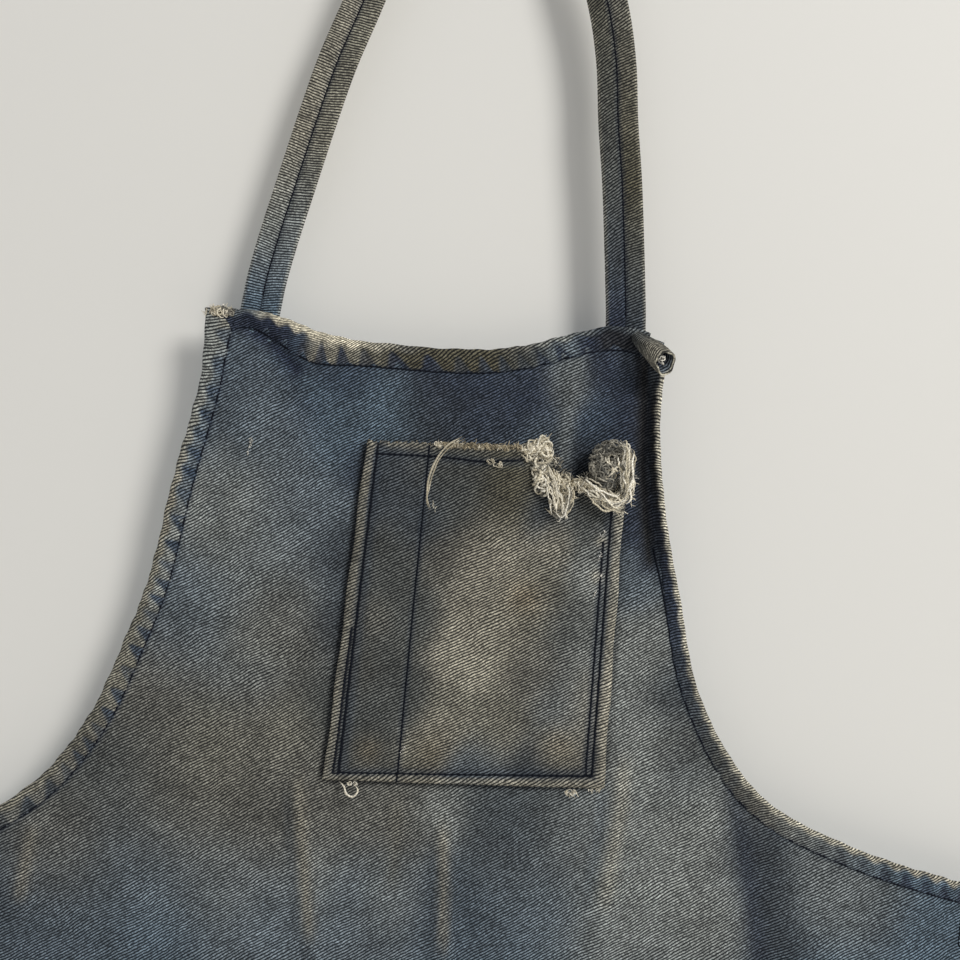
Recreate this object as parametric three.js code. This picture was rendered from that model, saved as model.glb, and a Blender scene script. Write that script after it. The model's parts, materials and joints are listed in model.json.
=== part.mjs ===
// Denim bib apron, hanging from its neck strap.
// Millimetres, +Z up, X across the apron. The front faces -Y.
// The origin is the point inside the neck loop that rests on a hook.
import * as THREE from 'three';

// ---- Driving dimensions ----
const neckRise = 350;        // hook down to the bib's top corners
const bibCentre = -10;       // X of the middle of the bib; it hangs slightly to one side
const bibHalfTop = 121;      // middle of the bib to a top corner
const waistDrop = 345;       // top corners down to the fold line at the waist
const apronLength = 780;     // top corners down to the bottom edge
const waistLeft = -302;      // side edges, from the middle of the bib
const waistRight = 326;
const cloth = 1.2;           // one layer of denim
const gap = 0.3;             // air between touching layers
const thread = 0.6;          // height of a stitch line
const threadWidth = 0.9;
const hemWidth = 12;
const topHemWidth = 14;
const bottomHemWidth = 20;
const tapeWidth = 21;        // folded denim tape of the neck strap and the ties
const tapeThickness = 2.4;
const hookRadius = 7;        // inside radius of the neck loop at its top
const tieLength = 640;
const hemEndGap = 1;         // between one hem's end and the next hem
const foldGap = 1.2;         // the bib and the skirt stop this far from the waist fold
const foldClearance = 9;     // and their hems and stitches this far

// ---- Layers, from back to front: tape, hem, panel, pocket ----
const tapeY = 0;
const hemY = tapeY - tapeThickness / 2 - gap - cloth / 2;
const panelY = hemY - gap - cloth;
const panelThreadY = panelY - cloth / 2 - gap - thread / 2;
const pocketFoldY = panelY - gap - cloth;
const pocketY = pocketFoldY - gap - cloth;
const pocketThreadY = pocketY - cloth / 2 - gap - thread / 2;

// ---- Heights ----
const bibTop = -neckRise;
const strapHinge = bibTop + 12;      // the strap bends just above the top edge
const hingeGap = 1.5;                // the strap's loop and its sewn ends stop this far from the bend
const waist = bibTop - waistDrop;
const bottom = bibTop - apronLength;
const tieDropLeft = 325;
const tieDropRight = 290;

// ---- Colours ----
const denim = 0x5d6468;
const denimLight = 0x7b7c74;
const darkThread = 0x1d2430;
const cottonFray = 0xb9b2a0;

const apron = new THREE.Group();

function addPiece(name, geometry, color) {
  const material = new THREE.MeshStandardMaterial({ color, roughness: 0.92, metalness: 0 });
  const mesh = new THREE.Mesh(geometry, material);
  mesh.name = name;
  apron.add(mesh);
}

// ---- Geometry helpers ----

function enclosedVolume(points, faces) {
  let sum = 0;
  for (let k = 0; k < faces.length; k += 3) {
    const [a, b, c] = [points[faces[k]], points[faces[k + 1]], points[faces[k + 2]]];
    sum += a.dot(new THREE.Vector3().crossVectors(b, c));
  }
  return sum / 6;
}

// A closed solid from points and triangles, turned so that its faces point out.
function solid(points, faces) {
  const geometry = new THREE.BufferGeometry().setFromPoints(points);
  const outward = enclosedVolume(points, faces) > 0;
  geometry.setIndex(outward ? faces : [...faces].reverse());
  return geometry;
}

// Joins two matching rings or rows of points with a strip of quads.
function addQuads(faces, rowA, rowB, closed) {
  const count = closed ? rowA.length : rowA.length - 1;
  for (let k = 0; k < count; k += 1) {
    const next = (k + 1) % rowA.length;
    faces.push(rowA[k], rowA[next], rowB[next], rowA[k], rowB[next], rowB[k]);
  }
}

// A sheet of even thickness along Y about rows of mid-surface points.
function slab(middle, thickness) {
  const rows = middle.length;
  const columns = middle[0].length;
  const half = new THREE.Vector3(0, thickness / 2, 0);
  const front = middle.flat().map((p) => p.clone().sub(half));
  const back = middle.flat().map((p) => p.clone().add(half));
  const points = [...front, ...back];
  const id = (side, row, column) => side * rows * columns + row * columns + column;
  const line = (side, row) => Array.from({ length: columns }, (_, c) => id(side, row, c));
  const faces = [];
  for (let row = 0; row + 1 < rows; row += 1) {
    addQuads(faces, line(0, row), line(0, row + 1), false);
    addQuads(faces, line(1, row + 1), line(1, row), false);
  }
  const rim = [];
  for (let c = 0; c < columns; c += 1) rim.push([0, c]);
  for (let r = 1; r < rows; r += 1) rim.push([r, columns - 1]);
  for (let c = columns - 2; c >= 0; c -= 1) rim.push([rows - 1, c]);
  for (let r = rows - 2; r > 0; r -= 1) rim.push([r, 0]);
  const ring = (side) => rim.map(([r, c]) => id(side, r, c));
  addQuads(faces, ring(1), ring(0), true);
  return solid(points, faces);
}

// Rows of points from a function of two fractions, u across and v down.
function pointRows(rows, columns, pointAt) {
  return Array.from({ length: rows + 1 }, (_, r) => Array.from(
    { length: columns + 1 },
    (_, c) => pointAt(c / columns, r / rows),
  ));
}

// A flat band that follows a list of mid-surface points in the XZ plane.
function band(centres, width, thickness) {
  const rows = centres.map((p, k) => {
    const before = centres[Math.max(k - 1, 0)];
    const after = centres[Math.min(k + 1, centres.length - 1)];
    const along = after.clone().sub(before).setY(0).normalize();
    const across = new THREE.Vector3(-along.z, 0, along.x).multiplyScalar(width / 2);
    return [p.clone().sub(across), p.clone().add(across)];
  });
  return slab(rows, thickness);
}

const bump = (s) => Math.exp(-s * s);
const mix = (a, b, t) => a + (b - a) * t;
const range = (count, make) => Array.from({ length: count + 1 }, (_, k) => make(k / count));

// ---- Outline of the bib, from the middle of its top: x across, z up ----
const armholeLeft = new THREE.SplineCurve([
  [-bibHalfTop, 0], [-120, -38], [-130, -92], [-138, -142], [-148, -177],
  [-162, -216], [-186, -252], [-222, -279], [-262, -298], [waistLeft, -310],
].map(([x, z]) => new THREE.Vector2(x, z)));
const armholeRight = new THREE.SplineCurve([
  [bibHalfTop, 0], [120, -40], [127, -87], [139, -133], [150, -173],
  [170, -208], [197, -234], [242, -252], [290, -263], [waistRight, -269],
].map(([x, z]) => new THREE.Vector2(x, z)));

// The neck strap lifts the top edge at its two ends, and the edge sags between them.
const topSag = 11.5;
const strapFeet = [
  { x: -96, lift: 11.5, spread: 32 },
  { x: 97, lift: 19.5, spread: 45 },
];

function topEdge(x) {
  const [liftLeft, liftRight] = strapFeet.map((foot) => foot.lift * bump((x - foot.x) / foot.spread));
  return liftLeft + liftRight - topSag;
}

const onApron = (x, y, z) => new THREE.Vector3(x + bibCentre, y, z + bibTop);

// A point of an armhole edge moved into the cloth by `inset`.
function armholePoint(curve, side, t, inset, y) {
  const p = curve.getPointAt(t);
  const along = curve.getTangentAt(t);
  return onApron(p.x - side * -along.y * inset, y, p.y - side * along.x * inset);
}

// ---- Body cloth ----

function bibPanel() {
  const armholeRows = 18;
  const sideRows = 2;
  const edges = [];
  for (let k = 0; k <= armholeRows; k += 1) {
    edges.push([armholeLeft.getPointAt(k / armholeRows), armholeRight.getPointAt(k / armholeRows)]);
  }
  const [cornerLeft, cornerRight] = edges[armholeRows];
  for (let k = 1; k <= sideRows; k += 1) {
    const down = (corner) => mix(corner.y, foldGap - waistDrop, k / sideRows);
    edges.push([
      new THREE.Vector2(waistLeft, down(cornerLeft)),
      new THREE.Vector2(waistRight, down(cornerRight)),
    ]);
  }
  const sagDepth = 90;
  const columns = 14;
  const rows = edges.map(([left, right]) => range(columns, (u) => {
    const x = mix(left.x, right.x, u);
    const z = mix(left.y, right.y, u);
    const fade = Math.max(0, 1 + z / sagDepth);
    return onApron(x, panelY, z + topEdge(x) * fade);
  }));
  return slab(rows, cloth);
}

// Soft flutes that grow from nothing at the waist to their full depth at the bottom.
const flutes = [
  { depth: 8, length: 213, shift: 0.6 },
  { depth: 4, length: 121, shift: 2.1 },
];

function drape(x, z) {
  const fall = Math.max(0, (waist - z) / (waist - bottom));
  const [broad, narrow] = flutes.map(
    ({ depth, length, shift }) => depth * Math.sin((2 * Math.PI * x) / length + shift),
  );
  return fall * (broad + narrow);
}

const skirtRows = 10;
const skirtColumns = 30;
const skirtLeft = waistLeft + bibCentre;
const skirtRight = waistRight + bibCentre;
// Every layer of the skirt is divided at the same places across, one of them a hem's width from each side.
const skirtStations = [
  skirtLeft,
  ...range(skirtColumns, (t) => mix(skirtLeft + hemWidth, skirtRight - hemWidth, t)),
  skirtRight,
];

function skirtPoint(x, z, y) {
  return new THREE.Vector3(x, y + drape(x, z), z);
}

function skirtPanel() {
  const top = waist - foldGap;
  const row = (z) => skirtStations.map((x) => skirtPoint(x, z, panelY));
  return slab(range(skirtRows, (v) => row(mix(top, bottom, v))), cloth);
}

// ---- Hems: the cloth's edges turned over to the back ----

const topColumns = 20;
const armholeSteps = 24;

function topHem() {
  const cornerGap = 1.5;
  const reach = bibHalfTop - hemWidth - cornerGap;
  return slab(pointRows(1, topColumns, (u, v) => {
    const x = mix(-reach, reach, u);
    return onApron(x, hemY, topEdge(x) - v * topHemWidth);
  }), cloth);
}

function armholeHem(curve, side) {
  return slab(range(armholeSteps, (t) => [
    armholePoint(curve, side, t, 0, hemY),
    armholePoint(curve, side, t, hemWidth, hemY),
  ]), cloth);
}

function waistSideHem(edge, side, cornerDrop) {
  const top = bibTop - cornerDrop - hemWidth - hemEndGap;
  const low = waist + foldClearance;
  const outer = edge + bibCentre;
  const inner = outer - side * hemWidth;
  return slab([
    [new THREE.Vector3(outer, hemY, top), new THREE.Vector3(inner, hemY, top)],
    [new THREE.Vector3(outer, hemY, low), new THREE.Vector3(inner, hemY, low)],
  ], cloth);
}

const layerGap = 0.5;        // the skirt's layers are curved, so they keep a little more air
const skirtHemY = panelY + cloth + layerGap;
const skirtThreadY = panelY - cloth / 2 - layerGap - thread / 2;

function skirtSideHem(fromEdge, side) {
  const top = waist - foldClearance;
  const low = bottom + bottomHemWidth + hemEndGap;
  const inner = fromEdge - side * hemWidth;
  return slab(range(skirtRows, (v) => {
    const z = mix(top, low, v);
    return [skirtPoint(fromEdge, z, skirtHemY), skirtPoint(inner, z, skirtHemY)];
  }), cloth);
}

function skirtBottomHem() {
  const row = (z) => skirtStations.map((x) => skirtPoint(x, z, skirtHemY));
  return slab([row(bottom + bottomHemWidth), row(bottom)], cloth);
}

// ---- Neck strap: a loop of tape that twists to lie flat on the hook ----
const strapRadius = hookRadius + tapeThickness / 2;
const strapCurve = new THREE.CatmullRomCurve3([
  [-101.7, strapHinge + hingeGap], [-97, -313], [-89.7, -281], [-82, -248], [-74, -217],
  [-63.4, -185], [-43.1, -120], [-22.3, -52], [-7.8, -4.6], [-5.8, -1.2],
  [0, strapRadius - hookRadius],
  [5.8, -1.2], [7.8, -4.6], [22.3, -52], [43.1, -120],
  [63.9, -173], [71.2, -204], [75, -235], [79.7, -266], [83.5, -297], [88, strapHinge + hingeGap],
].map(([x, z]) => new THREE.Vector3(x, tapeY, z)), false, 'centripetal');
const twistTop = -15;
const twistBottom = -170;

function strapFrame(t) {
  const centre = strapCurve.getPoint(t);
  const along = strapCurve.getTangent(t);
  const turn = THREE.MathUtils.smoothstep(centre.z, twistBottom, twistTop) * Math.PI / 2;
  const inPlane = new THREE.Vector3(0, 1, 0).cross(along).normalize();
  const across = inPlane.multiplyScalar(Math.cos(turn)).add(new THREE.Vector3(0, Math.sin(turn), 0));
  const through = along.clone().cross(across).normalize();
  return { centre, across, through };
}

// Sweeps a rectangle along the loop, moved off the tape's middle by `offset`.
// The section has a point in the middle of each wide face, so that the twist stays smooth.
const section = [[-1, -1], [0, -1], [1, -1], [1, 1], [0, 1], [-1, 1]];
const sectionFan = [[1, 2, 3], [1, 3, 4], [1, 4, 5], [1, 5, 0]];

const strapStations = 80;

function strapSweep(width, thickness, offset) {
  const stations = strapStations;
  const points = [];
  const rings = [];
  for (let k = 0; k <= stations; k += 1) {
    const { centre, across, through } = strapFrame(k / stations);
    const middle = centre.addScaledVector(through, offset);
    rings.push(section.map(([a, b]) => {
      const corner = middle.clone().addScaledVector(across, a * width / 2);
      points.push(corner.addScaledVector(through, b * thickness / 2));
      return points.length - 1;
    }));
  }
  const faces = [];
  for (let k = 0; k < stations; k += 1) addQuads(faces, rings[k], rings[k + 1], true);
  for (const [a, b, c] of sectionFan) {
    faces.push(rings[0][a], rings[0][c], rings[0][b]);
    faces.push(rings[stations][a], rings[stations][b], rings[stations][c]);
  }
  return solid(points, faces);
}

// The strap's sewn end, behind the top hem: X at the bend, X at its cut end, and how far down it reaches.
const strapEndLeft = { bendX: -102.3, cutX: -104.5, reach: 15 };
const strapEndRight = { bendX: 88.2, cutX: 90, reach: 8 };

function strapEnd({ bendX, cutX, reach }) {
  return band([
    new THREE.Vector3(bendX, tapeY, strapHinge - hingeGap),
    new THREE.Vector3(cutX, tapeY, bibTop - reach),
  ], tapeWidth, tapeThickness);
}

// ---- Waist ties: tapes sewn behind the side hems, hanging at the sides ----
const tieOverlap = 32;       // how far its end reaches behind the side hem
const tieShow = 0.5;         // and past the side edge
const tieClear = 1.5;        // from the side edge to the hanging tie
const tackInset = 4;         // from the end's cut edge to its tack
const tackMargin = 2;        // from the tack's ends to the tape's edges

function tieEnd(edge, side, drop) {
  const z = bibTop - drop;
  const outer = edge + bibCentre + side * tieShow;
  return band([
    new THREE.Vector3(outer, tapeY, z),
    new THREE.Vector3(outer - side * tieOverlap, tapeY, z),
  ], tapeWidth, tapeThickness);
}

function tieBand(edge, side, drop, width, thickness, y) {
  const x = edge + bibCentre + side * (tieClear + tapeWidth / 2);
  const top = bibTop - drop + tapeWidth / 2;
  const steps = 4;
  return band(range(steps, (t) => new THREE.Vector3(x, y, top - t * tieLength)), width, thickness);
}

function tieTack(edge, side, drop) {
  const x = edge + bibCentre - side * (tieOverlap - tackInset);
  const z = bibTop - drop;
  const reach = tapeWidth / 2 - tackMargin;
  return band([
    new THREE.Vector3(x, panelThreadY, z + reach),
    new THREE.Vector3(x, panelThreadY, z - reach),
  ], threadWidth * 2, thread);
}

// ---- Pocket: one patch with a pen slot, its mouth torn at the right ----
const pocketCorners = {
  topLeft: [-30.5, -62.7],
  topRight: [104, -56.7],
  bottomLeft: [-38, -239],
  bottomRight: [106.8, -231],
};
const pocketGape = 6.5;      // how far the mouth of the main pocket stands open
const tearDepth = 17;
// Places on the pocket are fractions: u across from its left edge, v down from its top edge.
const penSlot = 0.24;        // the divider at the mouth
const penSlotLow = 0.26;     // and at its foot
const pocketSeam = 0.95;
const tearU = 0.81;
const tearSpread = 0.085;
const tearV = 0.5;           // the tear fades out at this depth
const wholeMouth = 0.6;      // the mouth is whole from the left edge to here

function pocketPoint(u, v, y) {
  const c = pocketCorners;
  const x = mix(mix(c.topLeft[0], c.topRight[0], u), mix(c.bottomLeft[0], c.bottomRight[0], u), v);
  const z = mix(mix(c.topLeft[1], c.topRight[1], u), mix(c.bottomLeft[1], c.bottomRight[1], u), v);
  const tear = tearDepth * bump((u - tearU) / tearSpread) * Math.max(0, 1 - v / tearV);
  const across = THREE.MathUtils.clamp((u - penSlot) / (pocketSeam - penSlot), 0, 1);
  const gape = pocketGape * Math.sin(Math.PI * across) * (1 - v * v);
  return onApron(x, y - gape, z - tear);
}

function pocketPanel() {
  return slab(pointRows(10, 20, (u, v) => pocketPoint(u, v, pocketY)), cloth);
}

// The turned-in edges lie between the pocket and the bib: from u, from v, to u, to v.
const pocketFolds = {
  left: { from: [0.01, 0.11], to: [0.07, 0.93], rows: 6, columns: 1 },
  right: { from: [pocketSeam, 0.11], to: [0.99, 0.93], rows: 6, columns: 1 },
  bottom: { from: [0.01, 0.94], to: [0.99, 0.99], rows: 1, columns: 20 },
  top: { from: [0.01, 0.005], to: [wholeMouth, 0.085], rows: 1, columns: 16 },
};

function pocketFold({ from, to, rows, columns }) {
  const place = (u, v) => pocketPoint(mix(from[0], to[0], u), mix(from[1], to[1], v), pocketFoldY);
  return slab(pointRows(rows, columns, place), cloth);
}

const outerLeft = 0.032;     // the outer stitch line, near the left edge
const outerRight = 0.955;    // and near the right edge, where the ridge is wider
const outerTop = 0.55;       // it starts this far down at the left
const stitchLow = 0.965;
const wornTop = 0.27;        // the right edge has lost its thread above here

function pocketOutline() {
  const left = range(6, (t) => [outerLeft, mix(outerTop, stitchLow, t)]);
  const low = range(16, (t) => [mix(outerLeft, outerRight, t), stitchLow]).slice(1);
  const right = range(6, (t) => [outerRight, mix(stitchLow, wornTop, t)]).slice(1);
  return [...left, ...low, ...right].map(([u, v]) => pocketPoint(u, v, pocketThreadY));
}

// The straight stitch lines of the pocket, each from its top to its foot.
const runLow = 0.93;
const pocketRuns = {
  pocket_inner_stitching_left: { top: [0.047, 0.03], foot: [0.055, runLow] },
  pocket_inner_stitching_right: { top: [0.925, wornTop], foot: [0.93, runLow] },
  pocket_divider_stitching: { top: [penSlot, 0.01], foot: [penSlotLow, runLow] },
};

function pocketRun({ top, foot }) {
  return range(8, (t) => pocketPoint(mix(top[0], foot[0], t), mix(top[1], foot[1], t), pocketThreadY));
}

function pocketTopRun() {
  const v = 0.075;
  return range(16, (t) => pocketPoint(mix(penSlot + 0.015, wholeMouth - 0.01, t), v, pocketThreadY));
}

const stitch = (centres) => band(centres, threadWidth, thread);

// A tangle of pulled-out threads, as a lumpy ball that stands clear of the pocket's mouth.
const knotClear = 7.5;

function frayedKnot({ x, z, width, height, tilt }) {
  const depth = 7;
  const knot = new THREE.IcosahedronGeometry(0.5, 2);
  const place = knot.attributes.position;
  const index = new Map();
  const points = [];
  const faces = [];
  for (let k = 0; k < place.count; k += 1) {
    const p = new THREE.Vector3().fromBufferAttribute(place, k);
    const key = p.toArray().map((n) => n.toFixed(5)).join(' ');
    if (!index.has(key)) {
      index.set(key, points.length);
      const lump = 1 + 0.12 * Math.sin(p.x * 14) * Math.cos(p.z * 17);
      const q = p.multiplyScalar(lump).multiply(new THREE.Vector3(width, depth, height));
      points.push(q.applyAxisAngle(new THREE.Vector3(0, 1, 0), tilt));
    }
    faces.push(index.get(key));
  }
  const middle = onApron(x, pocketY - depth / 2 - knotClear, z);
  return solid(points.map((p) => p.add(middle)), faces);
}

function looseThread() {
  const radius = 0.5;
  const lift = 2.4;
  const path = new THREE.CatmullRomCurve3([
    [14, -60], [9, -66], [4, -74], [1.5, -83], [4, -92], [5, -96],
  ].map(([x, z]) => onApron(x, pocketThreadY - lift, z)));
  const round = new THREE.Shape().absarc(0, 0, radius, 0, Math.PI * 2);
  return new THREE.ExtrudeGeometry(round, { steps: 16, extrudePath: path, curveSegments: 3 });
}

// ---- Stitch lines on the body ----
const stitchInset = hemWidth - 1;

function armholeStitch(curve, side, from, to) {
  return stitch(range(20, (t) => armholePoint(curve, side, mix(from, to, t), stitchInset, panelThreadY)));
}

function topStitch() {
  const endInset = 4;
  const reach = bibHalfTop - hemWidth - endInset;
  const drop = topHemWidth - 1.5;
  return stitch(range(topColumns, (t) => {
    const x = mix(-reach, reach, t);
    return onApron(x, panelThreadY, topEdge(x) - drop);
  }));
}

function skirtSideStitch(fromEdge, side) {
  const x = fromEdge - side * stitchInset;
  const top = waist - foldClearance;
  const low = bottom + bottomHemWidth + hemEndGap;
  return stitch(range(skirtRows, (v) => skirtPoint(x, mix(top, low, v), skirtThreadY)));
}

function skirtBottomStitch() {
  const z = bottom + bottomHemWidth - 2;
  return stitch(skirtStations.map((x) => skirtPoint(x, z, skirtThreadY)));
}

// ---- Assembly ----
addPiece('bib_panel', bibPanel(), denim);
addPiece('bib_top_hem', topHem(), denim);
addPiece('bib_top_stitching', topStitch(), darkThread);
addPiece('skirt_panel', skirtPanel(), denim);
addPiece('skirt_bottom_hem', skirtBottomHem(), denim);
addPiece('skirt_bottom_stitching', skirtBottomStitch(), darkThread);

const sides = [
  { name: 'left', side: -1, curve: armholeLeft, edge: waistLeft, corner: 310, tieDrop: tieDropLeft },
  { name: 'right', side: 1, curve: armholeRight, edge: waistRight, corner: 269, tieDrop: tieDropRight },
];
for (const { name, side, curve, edge, corner, tieDrop } of sides) {
  const skirtEdge = edge + bibCentre;
  const tieFrontY = tapeY - tapeThickness / 2 - gap - thread / 2;
  addPiece(`armhole_hem_${name}`, armholeHem(curve, side), denimLight);
  addPiece(`waist_side_hem_${name}`, waistSideHem(edge, side, corner), denimLight);
  addPiece(`skirt_side_hem_${name}`, skirtSideHem(skirtEdge, side), denimLight);
  addPiece(`skirt_side_stitching_${name}`, skirtSideStitch(skirtEdge, side), darkThread);
  addPiece(`waist_tie_end_${name}`, tieEnd(edge, side, tieDrop), denim);
  addPiece(`waist_tie_tack_${name}`, tieTack(edge, side, tieDrop), darkThread);
  addPiece(`waist_tie_${name}`, tieBand(edge, side, tieDrop, tapeWidth, tapeThickness, tapeY), denim);
  const tieStitch = tieBand(edge, side, tieDrop, threadWidth, thread, tieFrontY);
  addPiece(`waist_tie_stitching_${name}`, tieStitch, darkThread);
}

// The right seam is broken in two places: where each run starts and ends along the armhole.
const rightRuns = { upper: [0.27, 0.57], middle: [0.6, 0.66], lower: [0.69, 0.98] };
addPiece('armhole_stitching_left', armholeStitch(armholeLeft, -1, 0.02, 0.98), darkThread);
for (const [place, [from, to]] of Object.entries(rightRuns)) {
  addPiece(`armhole_stitching_right_${place}`, armholeStitch(armholeRight, 1, from, to), darkThread);
}

const strapThreadOffset = -(tapeThickness / 2 + gap + thread / 2);
addPiece('neck_strap', strapSweep(tapeWidth, tapeThickness, 0), denimLight);
addPiece('neck_strap_stitching', strapSweep(threadWidth, thread, strapThreadOffset), darkThread);
addPiece('neck_strap_end_left', strapEnd(strapEndLeft), denimLight);
addPiece('neck_strap_end_right', strapEnd(strapEndRight), denimLight);

addPiece('pocket_panel', pocketPanel(), denimLight);
for (const [place, fold] of Object.entries(pocketFolds)) {
  addPiece(`pocket_fold_${place}`, pocketFold(fold), denimLight);
}
addPiece('pocket_outer_stitching', stitch(pocketOutline()), darkThread);
for (const [name, run] of Object.entries(pocketRuns)) addPiece(name, stitch(pocketRun(run)), darkThread);
addPiece('pocket_top_stitching', stitch(pocketTopRun()), darkThread);
const knotLeft = { x: 62, z: -74, width: 11, height: 38, tilt: -0.42 };
const knotRight = { x: 97, z: -69, width: 30, height: 33, tilt: 0.1 };
addPiece('pocket_frayed_knot_left', frayedKnot(knotLeft), cottonFray);
addPiece('pocket_frayed_knot_right', frayedKnot(knotRight), cottonFray);
addPiece('pocket_loose_thread', looseThread(), cottonFray);

export default apron;
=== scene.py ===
# Denim bib apron, hung from its neck strap: fine cloth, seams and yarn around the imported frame.
# Lengths are millimetres in the row frame, and make_piece() turns them into metres.
import json
import math

import bpy
import numpy as np
from mathutils import Matrix, Vector


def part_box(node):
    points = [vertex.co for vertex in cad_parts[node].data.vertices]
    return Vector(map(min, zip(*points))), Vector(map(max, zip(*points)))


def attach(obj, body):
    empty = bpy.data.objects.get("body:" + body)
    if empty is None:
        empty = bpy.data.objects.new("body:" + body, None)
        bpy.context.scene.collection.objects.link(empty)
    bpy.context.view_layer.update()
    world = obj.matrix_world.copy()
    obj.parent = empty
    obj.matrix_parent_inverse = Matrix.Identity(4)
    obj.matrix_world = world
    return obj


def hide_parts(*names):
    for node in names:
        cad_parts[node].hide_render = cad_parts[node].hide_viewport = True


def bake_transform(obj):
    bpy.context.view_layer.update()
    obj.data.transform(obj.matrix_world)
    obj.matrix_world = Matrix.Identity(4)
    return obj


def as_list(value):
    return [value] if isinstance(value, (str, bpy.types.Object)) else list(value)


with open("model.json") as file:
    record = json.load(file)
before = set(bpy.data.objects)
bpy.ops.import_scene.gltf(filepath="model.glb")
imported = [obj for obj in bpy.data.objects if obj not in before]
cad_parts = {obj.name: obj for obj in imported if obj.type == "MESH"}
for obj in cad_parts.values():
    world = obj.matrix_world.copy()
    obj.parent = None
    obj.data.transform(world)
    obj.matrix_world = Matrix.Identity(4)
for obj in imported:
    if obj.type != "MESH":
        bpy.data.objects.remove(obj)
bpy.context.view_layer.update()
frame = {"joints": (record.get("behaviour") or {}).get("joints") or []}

# ---- Driving places, from the frame ----
MM = 0.001
joint_place = {joint["name"]: np.array(joint["pos_m"]) / MM for joint in frame["joints"]}


def box_mm(node):
    low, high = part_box(node)
    return np.array(low) / MM, np.array(high) / MM


bib_low, bib_high = box_mm("bib_panel")
skirt_low, skirt_high = box_mm("skirt_panel")
strap_bend = joint_place["bib_swing"][2]
waist = joint_place["waist_fold"][2]
bib_centre = joint_place["bib_swing"][0]
bib_top = strap_bend - 12    # the strap bends just above the bib
bottom = skirt_low[2]
side_left = skirt_low[0] - bib_centre
side_right = skirt_high[0] - bib_centre
panel_y = (bib_low[1] + bib_high[1]) / 2    # the middle of the body cloth's layer
hem_back_y = box_mm("bib_top_hem")[1][1]
tape_y = 0.0                 # the strap and the ties hang in the plane of the hook
tape_width = 21.0
cloth = 1.2                  # thickness of one layer
top_hem_width = 14.0
bottom_hem_width = 20.0
stitch_inset = 11.0          # from an edge to the seam that holds its hem
tuck = 2.5                   # how far the body cloth's edge lies inside its hems
pocket_back_y = box_mm("pocket_fold_bottom")[1][1]
pocket_y = pocket_back_y - 2.1      # the middle of the pocket's layer


# ---- Small maths ----

def bump(s):
    return np.exp(-np.square(s))


def mix(a, b, t):
    return a + (b - a) * t


def smooth(low, high, value):
    t = np.clip((value - low) / (high - low), 0, 1)
    return t * t * (3 - 2 * t)


def unit(vectors):
    length = np.linalg.norm(vectors, axis=-1, keepdims=True)
    return vectors / np.maximum(length, 1e-9)


def linear(*srgb):
    """A colour as the eye sees it on the cloth, 0 to 255, as linear light."""
    c = np.array(srgb, float) / 255
    return np.where(c <= 0.04045, c / 12.92, ((c + 0.055) / 1.055) ** 2.4)


def stack(*values):
    """Values side by side along a last axis."""
    return np.stack(np.broadcast_arrays(*values), axis=-1)


def travelled(points):
    """How far along a polyline each of its points is."""
    return np.concatenate([[0], np.cumsum(np.linalg.norm(np.diff(points, axis=0), axis=1))])


def between(place, places, values):
    """Rows of values, read off between the places where they are known."""
    return np.stack([np.interp(place, places, column) for column in values.T], axis=-1)


class Path:
    """A smooth curve through points, measured along its length."""

    def __init__(self, points, even=True, steps=40):
        points = np.array(points, float)
        first = points[0] if even else 2 * points[0] - points[1]
        last = points[-1] if even else 2 * points[-1] - points[-2]
        knots = np.vstack([first, points, last])
        spans = [self.span(knots[k:k + 4], even, steps) for k in range(len(points) - 1)]
        self.points = np.vstack([*spans, points[-1:]])
        self.distance = travelled(self.points)
        self.length = self.distance[-1]

    @staticmethod
    def span(p, even, steps):
        """The curve between the middle two of four points, uniform or centripetal."""
        t = np.linspace(0, 1, steps, endpoint=False)[:, None]
        if even:
            knot = np.array([-1.0, 0.0, 1.0, 2.0])
        else:
            gaps = np.maximum(np.linalg.norm(np.diff(p, axis=0), axis=1), 1e-4) ** 0.5
            knot = np.concatenate([[0], np.cumsum(gaps)])
            knot = knot - knot[1]
        t = knot[1] + t * (knot[2] - knot[1])

        def blend(a, b, low, high):
            return (high - t) / (high - low) * a + (t - low) / (high - low) * b

        a1 = blend(p[0], p[1], knot[0], knot[1])
        a2 = blend(p[1], p[2], knot[1], knot[2])
        a3 = blend(p[2], p[3], knot[2], knot[3])
        b1 = blend(a1, a2, knot[0], knot[2])
        b2 = blend(a2, a3, knot[1], knot[3])
        return blend(b1, b2, knot[1], knot[2])

    def at(self, distance):
        return between(distance, self.distance, self.points)

    def along(self, distance):
        step = 0.5
        low = np.clip(distance - step, 0, self.length)
        high = np.clip(distance + step, 0, self.length)
        return unit(self.at(high) - self.at(low))


def nearest(route, x, z):
    """Distance from each place to a polyline, and how far along it the nearest point is."""
    along = travelled(route)
    best = np.full(x.shape, 1e9)
    place = np.zeros(x.shape)
    for k, d in enumerate(np.diff(route, axis=0)):
        a = route[k]
        t = np.clip(((x - a[0]) * d[0] + (z - a[1]) * d[1]) / max(d @ d, 1e-9), 0, 1)
        far = np.hypot(x - a[0] - t * d[0], z - a[1] - t * d[1])
        closer = far < best
        best = np.where(closer, far, best)
        place = np.where(closer, along[k] + t * np.hypot(*d), place)
    return best, place


# ---- The apron's outline, from the middle of the bib's top: x across, z up ----
armhole_left = Path([
    (-121, 0), (-120, -38), (-130, -92), (-138, -142), (-148, -177),
    (-162, -216), (-186, -252), (-222, -279), (-262, -298), (side_left, -310),
])
armhole_right = Path([
    (121, 0), (120, -40), (127, -87), (139, -133), (150, -173),
    (170, -208), (197, -234), (242, -252), (290, -263), (side_right, -269),
])


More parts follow.
